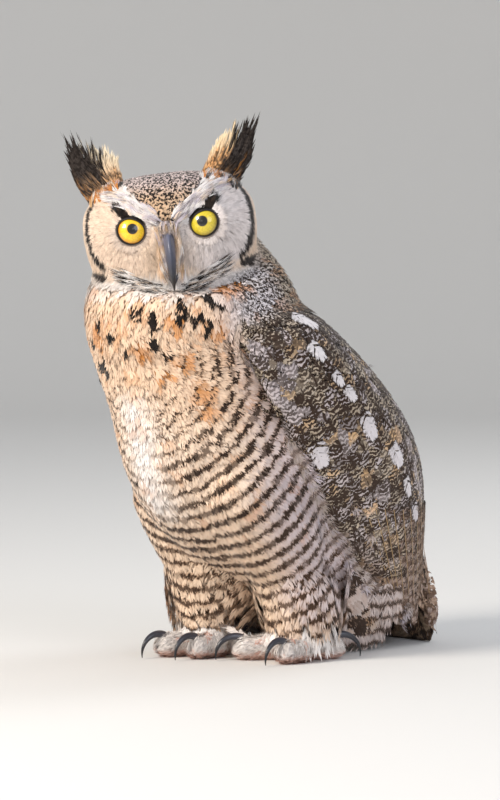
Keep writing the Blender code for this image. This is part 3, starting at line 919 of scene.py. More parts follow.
def body_look(at, face, length, rng):
    """Marks of body feathers: each has one ground colour, with bars that run on from its neighbours."""
    count = len(at)

    def vary(amount):
        return rng.normal(0, amount, count)

    at, face = surface(at + 0.7 * MM * length[:, None] * unit(lie_of(at, face)))
    base = marks(at, face)
    _, y, z = (at / MM).T
    away = np.linalg.norm(at - RINGS, axis=1) / MM
    legs = share_of(face, "leg", "shank")
    tone = 1 + vary(0.06) + 0.06 * cloud(at, 18 * MM)
    orange = 0.95 * step(near_any(at, EMBERS) + 0.12 * cloud(at, 5 * MM, 3.1), 0.25, 0.7)
    patchy = cloud(at, 13 * MM, 3.1) + vary(0.18)
    orange = np.maximum(orange, 0.45 * step(patchy, 0.45, 0.8) * step(z, 60, 140) * step(y, 20, -20))
    # A wedge widens downwards. Feathers inside it are black, and some close beside it are orange.
    gap = at[:, None] / MM - WEDGES
    below = 4.5 - gap[..., 2]
    room = np.where((below > 0) & (below < 9.5), 1.2 + 0.45 * below, -1.0)
    inside = (room - np.linalg.norm(gap[..., :2], axis=2)).max(axis=1) + vary(0.5)
    drop = step(inside, -0.4, 0.5)
    orange = np.clip(np.maximum(orange, 0.6 * step(inside, -4.0, -0.5) * (rng.random(count) < 0.5)), 0, 0.95)
    shown_bar = rng.random(count) < 0.62 + 0.40 * step(away, 25, 80)
    reach = 0.8 + 1.2 * step(away, 25, 80) + vary(0.15)
    jitter = vary(0.09) * (1 + 1.2 * step(away, 100, 40)) * (1 - 0.5 * legs)
    strength = np.clip(0.95 + vary(0.22), 0.3, 1.1) * shown_bar
    broad = vary(0.05)
    pointed = 0.20 - 0.06 * legs + vary(0.08)
    nape = step(y, -75, -45) * step(z, 262, 280)
    orange = np.maximum(orange, 0.55 * nape * step(cloud(at, 9 * MM, 7.7) + vary(0.3), -0.1, 0.5))
    ink = layered(mix(DARK, BLACK, 0.15), (BROWN, 0.6 * step(z, 150, 60)), (BLACK, 0.9 * drop))

    def look(own, centre, a, v):
        _, barred, width = np.moveaxis(own(base["bars"]), -1, 0)
        waved, speckled, solid = np.moveaxis(own(base["mottle"]), -1, 0)
        turn = ring_turn(centre) + own(jitter) + own(pointed) * np.abs(v) ** 1.5
        barred = barred * np.clip((own(reach) - np.abs(v)) * 3, 0, 1) * own(strength)
        wedge = np.clip(2.4 - np.abs(v) * 1.5, 0, 1) * np.clip((a - 0.15) * 4, 0, 1)
        ground = mix(own(base["ground"]), ORANGE, own(orange) * np.clip(1.3 - 0.7 * a, 0, 1))
        mottle = (waved, speckled, np.maximum(solid, wedge * own(drop)))
        return feather_marks(centre.shape, ground * own(tone)[..., None], own(ink),
                             (turn, barred, width + own(broad)), mottle)

    return look


BREAST_FINISH = plumage_material("breast_plumage", barb_contrast=0.30)


def soft_coat(name, allowed, spacing, length, half, seed, slot, barbs=10, fullness=0.95):
    rng = np.random.default_rng(seed)
    forms = [feather_form(rng, length, half, barbs=barbs, fullness=fullness) for _ in range(8)]
    at, face = scatter(allowed, spacing, rng)
    long = length * rng.uniform(0.85, 1.15, len(at))
    bed = lay(at, face, long, half * rng.uniform(0.85, 1.15, len(at)), 4, rng)
    coat_piece(name, bed, forms, rng, body_look(at, face, long, rng), round_unwrap(at), slot, BREAST_FINISH)


everywhere = slice(None)
middle_x, middle_y, middle_z = (face_middle / MM).T
on_body = share_of(everywhere, "trunk", "neck") > 0.5
on_legs = share_of(everywhere, "leg", "shank") >= 0.5
on_side = {"left": middle_x > 0, "right": ~(middle_x > 0)}
ahead_of = middle_y + 0.9 * np.abs(middle_x) < -60
collar = middle_z > 262
behind = middle_y > 20
flanks = on_body & ~ahead_of & ~collar & ~behind
soft_coat("coat_breast", on_body & ahead_of & ~collar, 3.5, 21, 6.5, 11, "breast_feathers")
for seed, (side_name, _) in enumerate(SIDES, 12):
    soft_coat(f"coat_flank_{side_name}", flanks & on_side[side_name], 3.6, 25, 7.5, seed, "breast_feathers")
soft_coat("coat_neck", on_body & collar, 3.6, 16, 4.5, 14, "breast_feathers", barbs=11)
soft_coat("coat_legs", on_legs, 3.0, 19, 3.8, 16, "leg_feathers", barbs=9, fullness=0.75)


# ---------------------------------------------------------------- loose flank feathers and leg skirts
# Long loose feathers: a lilac fringe of the flank that falls over each wing's front edge, and rings of
# feathers that hang from the thighs over the ankles, down to the floor on the outer side.


def bed_along(centre, up, half):
    """Beds along centre lines that are given, with the way up at each line or point."""
    ahead = unit(np.gradient(centre, axis=1))
    across = unit(np.cross(ahead, up))
    half = np.broadcast_to(half, len(centre)) * MM
    return {"centre": centre, "up": unit(np.cross(across, ahead)), "side": across * half[:, None, None],
            "bow": np.zeros(centre.shape), "depth": np.zeros((*centre.shape[:2], 1)), "half": half,
            "length": np.linalg.norm(centre[:, -1] - centre[:, 0], axis=1)}


def stretched(starts, tips, half, rows, up, sag):
    """Beds that run from starts to tips free of the skin, and bend up on their way."""
    share = np.linspace(0, 1, rows)[:, None]
    starts, tips, up = starts[:, None], tips[:, None], up[:, None]
    return bed_along(starts + (tips - starts) * share + up * sag * MM * np.sin(math.pi * share), up, half)


def skirt_coat(side_name, sign, seed):
    """Rings of feathers round an ankle, in four tiers, each hanging over the one below."""
    rng = np.random.default_rng(seed)
    ankle = middle(f"shank_{side_name}")[:2]
    starts, tips, outs = [], [], []
    for tier, count in enumerate((22, 24, 26, 28)):
        for k in range(count):
            turn = 2 * math.pi * (k + rng.uniform(-0.3, 0.3) + 0.5 * tier) / count
            outer = turn if turn < math.pi else turn - 2 * math.pi
            out = np.array((sign * math.sin(turn), -math.cos(turn)))
            low = np.interp(outer, (-3.14, -2.2, -1.2, -0.1, 0.5, 1.0, 3.14), (8, 20, 25, 24, 17, 6, 6))
            foot = np.interp(outer, (-3.14, -2.2, 0.5, 1.3, 3.14), (36, 26, 25, 33, 36)) + rng.normal(0, 0.7)
            starts.append((*(ankle + out * 45 * MM), (42 + 13 * tier) * MM))
            low = low + 11 * tier + rng.normal(0, 1.5)
            tips.append((*(ankle + out * (foot + 2.0 * tier) * MM), low * MM))
            outs.append((*out, 0.15))
    starts, tips = surface(np.array(starts))[0], np.array(tips)
    long = np.linalg.norm(starts - tips, axis=1, keepdims=True)
    starts = tips + (starts - tips) * np.minimum(1, 42 * MM / long)
    bed = stretched(starts, tips, 6.5, 5, unit(np.array(outs)), 2.5)
    forms = [feather_form(rng, 32, 6.5, sweep=0.35, lift=0.8) for _ in range(8)]
    look = body_look(starts, surface(starts)[1], bed["length"] / MM, rng)
    coat_piece(f"skirt_{side_name}", bed, forms, rng, look, round_unwrap(starts, ankle), "leg_feathers",
               BREAST_FINISH, rise=(0, 0))


def vent_coat(side_name, sign, seed):
    """Loose feathers that hang from the side of the belly to the floor, from the leg back to the tail."""
    rng = np.random.default_rng(seed)
    starts, tips = [], []
    for tier, count in enumerate((34, 34, 32)):
        for y in np.linspace(-22, 95, count) + rng.normal(0, 1.2, count):
            top = 33 + 13 * tier + rng.normal(0, 1.5)
            hit = skin_tree.ray_cast(Vector((sign * 0.2, y * MM, top * MM)), Vector((-sign, 0, 0)))[0]
            if hit is None or hit[0] * sign < 12 * MM:
                continue
            starts.append(hit[:])
            tips.append((hit[0] - sign * (7 - 2.0 * tier) * MM, hit[1] + 3 * MM,
                         (5.0 + 11 * tier + rng.normal(0, 1.5)) * MM))
    starts, tips = np.array(starts), np.array(tips)
    out = unit(np.array((sign, -0.25, 0.1)))
    bed = stretched(starts, tips, 6.5, 5, np.broadcast_to(out, starts.shape), 3.0)
    forms = [feather_form(rng, 32, 6.5, barbs=17, fray=0.13, fullness=0.7, lift=1.2) for _ in range(8)]
    tone = mix(mix(LILAC, CREAM, 0.5), GREY, rng.uniform(0, 0.35, len(starts)))
    jitter = rng.normal(0, 0.08, len(starts))

    def look(own, centre, a, v):
        turn = centre[..., 2] / BAR_SPACING + own(jitter) + 0.15 * np.abs(v)
        return feather_marks(centre.shape, own(tone), bars=(turn, 0.85, 0.30))

    coat_piece(f"vent_{side_name}", bed, forms, rng, look, round_unwrap(starts), "breast_feathers",
               BREAST_FINISH, rise=(0, 0))


def fringe_coat(side_name, sign, seed):
    """Loose barbs of the flank over the wing's front edge."""
    rng = np.random.default_rng(seed)
    wing = share_of(everywhere, "wing")
    allowed = (wing > 0.04) & (wing < 0.5) & (share_of(everywhere, "tail") < 0.05)
    allowed &= (middle_x * sign > 0) & (middle_z < 262) & (middle_z > 30)
    at, face = scatter(allowed, 4.2, rng)
    count = len(at)
    bed = lay(at, face, 26 * rng.uniform(0.8, 1.2, count), 6, 5, rng, stray=0.15)
    bed["depth"] = np.full_like(bed["depth"], 5.5 * MM)
    forms = [feather_form(rng, 26, 6, fray=0.18, fullness=0.6, lift=1.2) for _ in range(8)]
    tone = mix(LILAC, WARM_GREY, rng.uniform(0, 0.7, count)) * rng.normal(1.0, 0.07, count)[:, None]
    strength = 0.55 + 0.3 * (rng.random(count) < 0.16)

    def look(own, centre, a, v):
        return feather_marks(centre.shape, own(tone), bars=(ring_turn(centre), own(strength), 0.26))

    coat_piece(f"fringe_{side_name}", bed, forms, rng, look, round_unwrap(at), "breast_feathers",
               BREAST_FINISH, rise=(0.2, 1))


for coat, first_seed in ((skirt_coat, 71), (vent_coat, 75), (fringe_coat, 73)):
    for seed, side in enumerate(SIDES, first_seed):
        coat(*side, seed)


# ---------------------------------------------------------------- wing coverts and scapulars
# The upper wing: rounded close vanes in rows, nearly black-brown with fine pale waves, each with a dark
# shaft. A row of scapulars from the shoulder back has white outer vanes.

WING_FINISH = plumage_material("wing_plumage", 0.65, 0.08, barb_contrast=0.35, wave_spacing=4.2, wander=2.0,
                               patchy=3.0, chevron=0.35)
# Buff patches on the left wing, which the right one has too: place and size, in millimetres.
WING_BUFF = [(104, -84, 243, 6), (116, -24, 207, 9), (114, 26, 204, 10), (109, 50, 190, 10),
             (112, -60, 215, 7), (105, 20, 150, 8), (90, 0, 125, 9), (100, -80, 262, 8), (96, 90, 150, 9),
             (110, -5, 180, 8)]
# White scapulars: place on the left wing, length and half width, in millimetres.
SCAPULARS = np.array([
    (93, -56, 285, 30, 7.5), (110, -53, 261, 22, 7.0), (116, -34, 238, 17, 5.0), (117, -22, 225, 19, 5.5),
    (117, 2, 199, 30, 7.5), (112, 38, 172, 29, 8.0), (101, 65, 146, 25, 5.0), (99, -37, 177, 29, 10),
    (92, 88, 122, 22, 5.0)])


def on_left(at):
    """The same places on the left side."""
    return columns(np.abs(at[..., 0]), at[..., 1], at[..., 2])


def wing_look(at, face, rng):
    base = marks(at, face)
    count = len(at)
    tone = rng.normal(1, 0.10, count) + 0.12 * cloud(at, 30 * MM)
    depth = np.clip(1.08 + 0.25 * cloud(at, 22 * MM, 5.2) + rng.normal(0, 0.14, count), 0.80, 1.7)
    tint = rng.random(count)
    buff = near_any(on_left(at), WING_BUFF)
    ground = layered(base["ground"], (LILAC, 0.6 * (tint < 0.45)),
                     (BUFF, np.maximum(0.55 * (tint > 0.88), 0.75 * step(buff, 0.5, 0.8))),
                     (PALE_TAN, 0.5 * step(at[:, 2], 0.14, 0.09))) * tone[:, None]
    waved, speckled, solid = base["mottle"].T
    waved = np.where(waved > 0.5, depth - 0.2 * step(buff, 0.5, 0.8), waved)
    shafts = rng.uniform(0.2, 0.85, count) * (1 - step(buff, 0.3, 0.6))

    def look(own, centre, a, v):
        edge = np.clip((np.abs(v) - 0.72) * 4, 0, 1)
        shaft = np.clip(1.15 - np.abs(v) * 3.0, 0, 1) * np.clip(a * 4 - 0.5, 0, 1)
        mottle = (own(waved) * (1 - 0.35 * edge), own(speckled), np.maximum(own(solid), own(shafts) * shaft))
        pale_tip = 0.35 * np.clip((a - 0.88) * 8, 0, 1)
        bars = np.moveaxis(own(base["bars"]), -1, 0)
        return feather_marks(centre.shape, mix(own(ground), WHITE, pale_tip), own(base["ink"]), bars, mottle)

    return look


def wing_unwrap(at, face):
    """The outer face of a wing on the lower two thirds of the map, the inner face above it."""
    inner = face_normal[face][:, 0] * side_of(at[:, 0]) < -0.2
    low = spread(at[:, 2])
    return columns(spread(at[:, 1]), np.where(inner, 0.68 + 0.31 * low, 0.01 + 0.64 * low))


def back_unwrap(at, face):
    return columns(spread(at[:, 0]), spread(at[:, 2]))


def wing_coat(name, allowed, unwrap, seed):
    rng = np.random.default_rng(seed)
    forms = [feather_form(rng, 30, 10, barbs=12, sweep=0.34, fullness=1.2, fray=0.035, lift=0.15)
             for _ in range(8)]
    at, face = scatter(allowed, 6.6, rng)
    size = 0.72 + 0.45 * step(at[:, 2], 0.29, 0.12)
    bed = lay(at, face, 30 * size, 10.5 * size, 5, rng, stray=0.08)
    coat_piece(name, bed, forms, rng, wing_look(at, face, rng), unwrap(at, face), "back_feathers",
               WING_FINISH, camber=0.10, roundness=0.45, shade=0.62, rise=(0.1, 1))


def scapular_coat(side_name, sign, seed):
    rng = np.random.default_rng(seed)
    at, face = surface(SCAPULARS[:, :3] * (sign, 1, 1) * MM)
    at, face = surface(at - unit(lie_of(at, face)) * SCAPULARS[:, 3:4] * MM * 0.5)
    bed = lay(at, face, SCAPULARS[:, 3], SCAPULARS[:, 4], 6, rng, stray=0.05)
    bed["depth"] = bed["depth"] + 1.2 * MM
    forms = [feather_form(rng, 20, 7, barbs=22, fullness=2.0, fray=0.09, sweep=0.30) for _ in range(5)]
    tone = mix(WHITE, LILAC, rng.uniform(0.25, 0.6, len(at)))

    def look(own, centre, a, v):
        waved = 0.95 * np.clip((np.abs(v) - 0.45) * 2.5, 0, 1)
        solid = np.clip((a - 0.90) * 9, 0, 0.9) + np.clip((0.22 - a) * 6, 0, 0.9)
        return feather_marks(centre.shape, own(tone), mottle=(waved, 0, solid))

    coat_piece(f"scapulars_{side_name}", bed, forms, rng, look, wing_unwrap(at, face), "back_feathers",
               WING_FINISH, rise=(0.75, 1), camber=0.10, roundness=0.3, shade=0.8)


covert_edge = 90 - 0.12 * (middle_y - 60) + 9 * cloud(face_middle, 9 * MM, 2.2)
on_wing = (share_of(everywhere, "wing") > 0.5) & (middle_z > covert_edge)
for seed, (side_name, _) in enumerate(SIDES, 21):
    wing_coat(f"coverts_{side_name}", on_wing & on_side[side_name], wing_unwrap, seed)
below_nape = middle_z < 266 + 11 * cloud(face_middle, 9 * MM, 4.7)
wing_coat("coat_back", on_body & below_nape & behind, back_unwrap, 15)
for seed, side in enumerate(SIDES, 23):
    scapular_coat(*side, seed)


# ---------------------------------------------------------------- quills of the wings and tail
# The long stiff flight feathers: brown-grey vanes with dark bars, each on a thin straw-coloured shaft. On a
# wing they show below the coverts and close towards its tip, and in the tail they lie side by side.

QUILL_FINISH = plumage_material("quill_plumage", 0.6, 0.05, barb_contrast=0.45, barb_spacing=0.8, ragged=0.5)
SHAFT_FINISH = plumage_material("shaft_horn", 0.4, 0.0, barb_contrast=0.1)


def shaft_form(length, half):
    """The shaft alone: a narrow strip that tapers to the feather's tip."""
    form = Form(length, half)
    form.blade((0.02, 0), (0.97, 0), 0.75, 0.35, turns=(0.0, 0.25, 0.5, 0.75), widths=(1.0, 0.9, 0.8, 0.6))
    return form.done()


def quill_coat(name, starts, tips, half, patch, seed, bar, depth, rise, strength, waved):
    """Flight feathers from starts to tips on the skin, each a little over the last, and their shafts.

    Bars, the depth of the first and the rise to the last are in millimetres. Patches are pale places.
    """
    rng = np.random.default_rng(seed)
    count = len(starts)
    share = np.linspace(0, 1, 14)[:, None]
    centre = starts[:, None] + (tips - starts)[:, None] * share
    on_skin, face = surface(centre.reshape(-1, 3))
    bed = bed_along(on_skin.reshape(centre.shape), face_normal[face].reshape(centre.shape), half)
    bed["depth"] = bed["depth"] + (depth + np.linspace(0, rise, count)[:, None, None]) * MM
    long = float(np.mean(bed["length"])) / MM
    forms = [feather_form(rng, long, half, barbs=58, sweep=0.10, fullness=1.25, fray=0.012, roundness=0.04,
                          lift=0.15) for _ in range(4)]
    tone = mix(mix(PALE_TAN, LILAC, 0.45), BUFF, rng.uniform(0, 0.35, count))
    tone = tone * rng.normal(1.0, 0.08, count)[:, None]
    shift = rng.random(count)
    unwrapped = columns(np.linspace(0.05, 0.95, count), 0.5)

    def look(own, centre, a, v):
        turn = a * own(bed["length"]) / (bar * MM) + own(shift) + 0.25 * np.abs(v)
        warm = np.clip(1.4 * near_any(on_left(centre), patch), 0, 0.95)
        # Darker along each vane's edges, more on one side: partly the quill's own dark inner web, partly
        # painted shade where the quills overlap.
        web_and_overlap_shade = np.clip((np.abs(v) - 0.45) * 2.5, 0, 1) * np.where(v > 0, 0.75, 0.35)
        ground = layered(own(tone), (mix(BUFF, CREAM, 0.3), warm), (BROWN, web_and_overlap_shade * (1 - warm)))
        waves = np.maximum(waved * (1 - warm), np.clip(1.3 - 5 * a, 0, 1))
        return feather_marks(centre.shape, ground, mix(BROWN, DARK, 0.45), (turn, strength, 0.42),
                             (waves, 0.35, 0))

    def straw(own, centre, a, v):
        return feather_marks(centre.shape, paint("AE9068"), BLACK)

    coat_piece(name, bed, forms, rng, look, unwrapped, "back_feathers", QUILL_FINISH, rise=(1, 1),
               camber=0.16, roundness=0.4, shade=0.8)
    bed["depth"] = bed["depth"] + 0.5 * MM
    coat_piece(name + "_shafts", bed, [shaft_form(long, half)], rng, straw, unwrapped, "back_feathers",
               SHAFT_FINISH, rise=(1, 1), camber=0, shade=1)


for side_name, sign in SIDES:
    share = np.linspace(0, 1, 13)[:, None]
    roots = np.array((95, 6, 122)) * (1 - share) + np.array((70, 150, 128)) * share
    ends = np.array((58, 108, 16)) * (1 - share) + np.array((34, 172, 8)) * share
    roots = surface((roots + (20, 0, 0)) * (sign, 1, 1) * MM)[0]
    ends = surface((ends + (10, 0, 0)) * (sign, 1, 1) * MM)[0]
    quill_coat(f"quills_{side_name}", roots, ends, 9, [(87, 33, 94, 14), (81, 43, 81, 14)], 81, bar=12.0,
               depth=2.2, rise=2.5, strength=0.75, waved=0.45)

fan = np.linspace(-1, 1, 11)
fan = fan[np.argsort(-np.abs(fan), kind="stable")]
roots = surface(columns(fan * 30, 158, 112 - 8 * np.abs(fan)) * MM)[0]
ends = surface(columns(fan * 37, 190, 4) * MM)[0]
quill_coat("tail_quills", roots, ends, 10.5, [(0, 0, 900, 14)], 83, bar=20.0, depth=1.0, rise=1.6,
           strength=0.8, waved=0.75)


# ---------------------------------------------------------------- face and crown
# Very short hair-like feathers that ray out round each eye and make the flat face, and small rounded ones,
# dark and speckled, that lie back over the crown and the back of the head.

FACE_FINISH = plumage_material("face_plumage", barb_contrast=0.22, speckle_size=2.1)


def plain_look(at, face, length, rng, flecks):
    """Marks that each feather takes as they are from the skin below its outer part."""
    base = marks(*surface(at + 0.65 * MM * length[:, None] * unit(lie_of(at, face))))
    tone = rng.normal(1, 0.05, len(at))
    fleck = flecks * np.clip(rng.normal(0.0, 1.0, len(at)), 0, 2)
    base["ground"] = mix(base["ground"], BROWN, fleck) * tone[:, None]

    def look(own, centre, a, v):
        return {name: np.broadcast_to(own(values), centre.shape) for name, values in base.items()}

    return look


def small_coat(name, allowed, spacing, length, half, seed, slot, maker, finish=FACE_FINISH, rows=3,
               flecks=0.0, **how):
    rng = np.random.default_rng(seed)
    forms = [maker(rng, length, half) for _ in range(10)]
    at, face = scatter(allowed, spacing, rng)
    long = length * rng.uniform(0.8, 1.2, len(at))
    bed = lay(at, face, long, half, rows, rng, stray=0.10)
    look = plain_look(at, face, long, rng, flecks)
    coat_piece(name, bed, forms, rng, look, round_unwrap(at), slot, finish, **how)


def disc_form(rng, length, half):
    return bristle_form(rng, length, half, wide=0.42)


def crown_form(rng, length, half):
    return feather_form(rng, length, half, barbs=5, fullness=1.0)


x, y, z = (head_local(face_middle) / MM).T
on_head = share_of(everywhere, "head") > 0.5
on_face = (y < 12) & ((z < 36) | (y < -12))
on_crown = (crown_edge(z) + 1 > np.abs(x)) & (z > -4)
off_eyes = np.hypot(np.abs(x) - EYE_X, z + 2) > 11.6
small_coat("coat_face", on_head & on_face & off_eyes & ~on_crown, 1.35, 9.5, 1.5, 31, "face_feathers",
           disc_form, camber=0, rise=(0.5, 1), roundness=0.1, flecks=0.16)
small_coat("coat_crown", on_head & (~on_face | on_crown), 2.3, 9, 2.4, 32, "face_feathers", crown_form,
           rise=(0.4, 1))


# ---------------------------------------------------------------- bristles round the bill
# Stiff hair-like feathers: pale ones that lie down both sides of the bill, and under it a streaked
# black and white beard that sweeps out to both sides like an open V.


def facing(local):
    """The places on the skin straight behind some places ahead of the face, and their triangles."""
    hits = [skin_tree.ray_cast(p, HEAD_Y) for p in (from_head(local) - 0.12 * HEAD_Y).tolist()]
    hits = [h for h in hits if h[0] is not None]
    return np.array([h[0][:] for h in hits]), np.array([h[2] for h in hits])


def head_lean(x, y, z):
    """A lie that runs to each side of the head alike: outwards, back and up."""
    def lie(at, face):
        return columns(side_of(head_local(at)[:, 0]) * x, y, z) @ HEAD_AXES.T
    return lie


def picked_look(colours):
    def look(own, centre, a, v):
        return feather_marks(centre.shape, own(colours), BLACK)
    return look


def bristle_coat(name, places, length, half, lie, height, tones, seed, stray=0.10, blades=5, wide=0.4):
    rng = np.random.default_rng(seed)
    at, face = facing(places)
    count = len(at)
    bed = lay(at, face, length * rng.uniform(0.75, 1.2, count), half, 4, rng, stray=stray, lie=lie)
    height = height * MM * rng.uniform(0.7, 1.2, (count, 1, 1))
    bed["depth"] = np.broadcast_to(height, bed["depth"].shape)
    forms = [bristle_form(rng, length, half, blades=blades, wide=wide, lift=1.0) for _ in range(8)]
    colours = np.array(tones)[rng.integers(0, len(tones), count)] * rng.normal(1, 0.06, count)[:, None]
    coat_piece(name, bed, forms, rng, picked_look(colours), round_unwrap(at), "face_feathers", FACE_FINISH,
               rise=(0.25, 0.9), camber=0, noise_share=0.15, shade=0.8)


def both_sides(aside, up):
    return columns(np.tile((-1, 1), len(aside) // 2) * aside, 0, up)


rng = np.random.default_rng(51)
along = np.repeat(rng.random(420), 2)
bristle_coat("beard", both_sides(0.5 + 34 * along, -58.5 + 18 * along + rng.normal(0, 2.4, 840)), 17, 1.1,
             head_lean(0.86, 0.15, 0.44), 6.0, [BLACK, BLACK, BLACK, DARK, WHITE, WHITE, WHITE, CREAM], 52,
             blades=3)
along = np.repeat(rng.random(230), 2)
across = rng.uniform(-1, 1, 460)
bristle_coat("brows", both_sides(5 + 36 * along - 2.6 * across, 1 + 25 * along**0.9 + 3.6 * across), 13, 1.8,
             head_lean(0.80, 0.05, 0.60), 7.0, [WHITE, WHITE, WHITE, CREAM, LILAC, LILAC, GREY], 55,
             wide=0.45)
along, across = rng.uniform(-1, 1, (2, 90))
bristle_coat("eye_streaks", both_sides(33.5 + 5.5 * along, 10.8 + 2.4 * along + 2.2 * across), 9, 1.6,
             head_lean(0.35, 0.05, 0.9), 7.5, [BLACK, BLACK, DARK], 56, wide=0.6)
along = np.repeat(rng.random(90), 2)
bristle_coat("rictal_bristles", both_sides(6.0 + 4.5 * rng.random(180), 2 - 38 * along), 15, 1.6,
             head_lean(-0.22, -0.1, -1.0), 9.0, [WHITE, CREAM, CREAM, LILAC, PEACH, GREY, PALE_TAN], 53)


def forehead_bristles(count, rng):
    """Bristles that run from between the eyes down over the bill's root."""
    aside = rng.uniform(-1, 1, count)
    starts = from_head(columns(5.5 * aside, -53.0, 1.5 + rng.uniform(-2, 3, count)))
    drop = rng.uniform(0.55, 1.0, count)
    tips = from_head(columns(6.2 * aside * (1 + 0.2 * drop), -57.0 - 9.5 * drop * np.sqrt(1 - 0.6 * aside**2),
                             2 - 13.5 * drop * (1 - 0.15 * (1 - aside**2))))
    up = unit(columns(0.6 * aside, -1.0, 0.35)) @ HEAD_AXES.T
    bed = stretched(starts, tips, 1.2, 4, up, 2.2)
    forms = [bristle_form(rng, 13, 1.2, blades=3, wide=0.36, lift=0.8) for _ in range(6)]
    colours = np.array([CREAM, LILAC, GREY, PALE_TAN, DARK, GREY])[rng.integers(0, 6, count)]
    coat_piece("forehead_bristles", bed, forms, rng, picked_look(colours), round_unwrap(starts),
               "face_feathers", FACE_FINISH, rise=(0, 0), camber=0, shade=0.85)


forehead_bristles(210, np.random.default_rng(54))

# Short orange, black and pale feathers over the front of each tuft's root.
rng = np.random.default_rng(57)
aside = np.concatenate([side * rng.uniform(32, 61, 150) for side in (-1, 1)])
spots = columns(aside, 0, 37 - 0.50 * (np.abs(aside) - 34) + rng.uniform(-7, 3, 300))
bristle_coat("tuft_foot_feathers", spots, 15, 2.2, head_lean(0.45, 0.2, 1.0), 7.0,
             [ORANGE, ORANGE, BUFF, CREAM, WHITE, LILAC, BLACK, DARK], 58, blades=6, wide=0.6, stray=0.3)


# ---------------------------------------------------------------- ear tufts
# Two horns of long narrow feathers in two ranks, each with an orange-buff inner edge and black outer vanes,
# and short orange feathers with black spots over their roots.

TUFT_FINISH = plumage_material("tuft_plumage", 0.7, 0.1, barb_contrast=0.6, speckle_size=2.6)
# Where the feathers of each tuft start and end, from its inner side (-1) to its outer one (1): aside and
# above the head's middle, in millimetres.
TUFT_PLACES = np.array((-1.0, -0.6, -0.25, 0.1, 0.4, 0.7, 1.0))
TUFT_TIPS = {"left": ((42, 58), (52, 68), (61, 73), (73, 76), (78, 71), (74, 56), (65, 41)),
             "right": ((36, 57), (46, 67), (60, 72), (71, 75), (77, 68), (75, 56), (68, 42))}
TUFT_ROOTS = {"left": ((31, 36), (34, 35), (37, 33), (40, 31), (43, 29), (46, 26), (49, 23)),
              "right": ((35, 35), (39, 34), (43, 32), (47, 30), (51, 28), (55, 25), (59, 21))}


def tuft_line(side_name, side, u, share, bend, layer):
    """A feather's line in a tuft, from its place u across the tuft, at some shares of the way to its tip."""
    root, tip = (np.array([np.interp(u, TUFT_PLACES, column) for column in zip(*places[side_name])])
                 for places in (TUFT_ROOTS, TUFT_TIPS))
    x, z = root[:, None] + (tip - root)[:, None] * share
    bend = bend * share * (1 - share)
    deep = 3.0 + layer * (1 - 0.75 * share.clip(0, 1)) + 3.0 * share
    return from_head(columns(side * (x + (tip - root)[1] * bend), deep, z - (tip - root)[0] * bend))


def tuft_coat(side_name, side, inner, tip, dark_from, seed):
    rng = np.random.default_rng(seed)
    # For each feather: its place across the tuft, where it starts and ends, how deep it lies, half its width.
    plan = [(u, -0.10, 1.0 - 0.10 * rng.random(), -2.0, 2.6) for u in np.linspace(-1, 1, 22)]
    plan += [(u, -0.10, 0.97 - 0.16 * rng.random(), 2.0, 3.0) for u in np.linspace(-0.95, 0.95, 18)]
    plan += [(u, -0.10, 0.90 - 0.25 * rng.random(), 0.0, 2.6) for u in rng.uniform(-1, 1, 18)]
    plan += [(u, -0.35, 0.25 + 0.40 * rng.random(), -4.5, 2.6) for u in np.linspace(-1.0, 1.0, 20)]
    plan += [(u, -0.40, 0.10 + 0.25 * rng.random(), -6.0, 2.4) for u in np.linspace(-1.0, 1.0, 20)]
    plan += [(u, -0.25, 0.25 + 0.35 * rng.random(), 4.8, 3.2) for u in np.linspace(-1.0, 1.0, 18)]
    place, _, high, layers, wide = np.array(plan).T
    lines = [tuft_line(side_name, side, u + rng.normal(0, 0.05), np.linspace(low, high, 7),
                       0.30 + rng.normal(0, 0.14), layer) for u, low, high, layer, _ in plan]
    up = unit(HEAD_Y * np.where(layers > 0, 1, -1)[:, None] + 0.25 * place[:, None] * side * HEAD_X)
    bed = bed_along(np.array(lines), up[:, None], wide)
    short = high < 0.66
    outer_side = np.sign(bed["side"][:, 0] @ HEAD_X * side)
    forms = [feather_form(rng, 45, 3.0, barbs=20, sweep=0.34, fullness=0.62, fray=0.13, roundness=0.08,
                          lift=1.0) for _ in range(12)]
    jittered = place + rng.normal(0, 0.13, len(plan))
    root_tone = rng.choice((0.0, 0.25, 0.8, 1.0), len(plan)) * short

    def look(own, centre, a, v):
        over = own(jittered) + 0.30 * v * own(outer_side)
        pale = step(over, dark_from + 0.14, dark_from - 0.14)
        pale = np.maximum(pale, own(root_tone) * step(a, 1.0, 0.5))
        rise = np.clip(a, 0, 1)
        edge = 0.75 * step(own(jittered), 0.80, 0.95) * step(rise, 0.95, 0.5)
        ground = mix(inner, tip, rise * (1 - 0.7 * own(short)))
        ground = layered(mix(BLACK, DARK, 0.15), (ground, pale), (inner, edge))
        speckled = 0.22 * (1 - pale) * (1 - 0.7 * rise) + 0.7 * pale * own(short)
        return feather_marks(centre.shape, ground, mix(paint("8E827C"), BLACK, pale), mottle=(0, speckled, 0))

    unwrapped = columns(spread(place + 0.02 * np.arange(len(plan))), spread(bed["length"]))
    tuft = coat_piece(f"tuft_{side_name}", bed, forms, rng, look, unwrapped, "tuft_feathers", TUFT_FINISH,
                      rise=(0, 0), camber=0.25, roundness=0.5, shade=0.8)
    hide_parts(f"ear_tuft_{side_name}")


tuft_coat("left", 1, paint("D58F45"), paint("F0D9B4"), -0.25, 61)
tuft_coat("right", -1, paint("D6995C"), paint("EBDCC0"), -0.50, 62)


# ---------------------------------------------------------------- eyes
# Large fixed eyeballs: a yellow iris with fine rays, a round black pupil and a dark edge, under a clear
# wet surface. They look a little inwards and up.

GAZE_IN = math.radians(6)
GAZE_UP = math.radians(7)
# Radii in millimetres.
PUPIL = 4.1
IRIS = 11.4
EYEBALL = 14.0


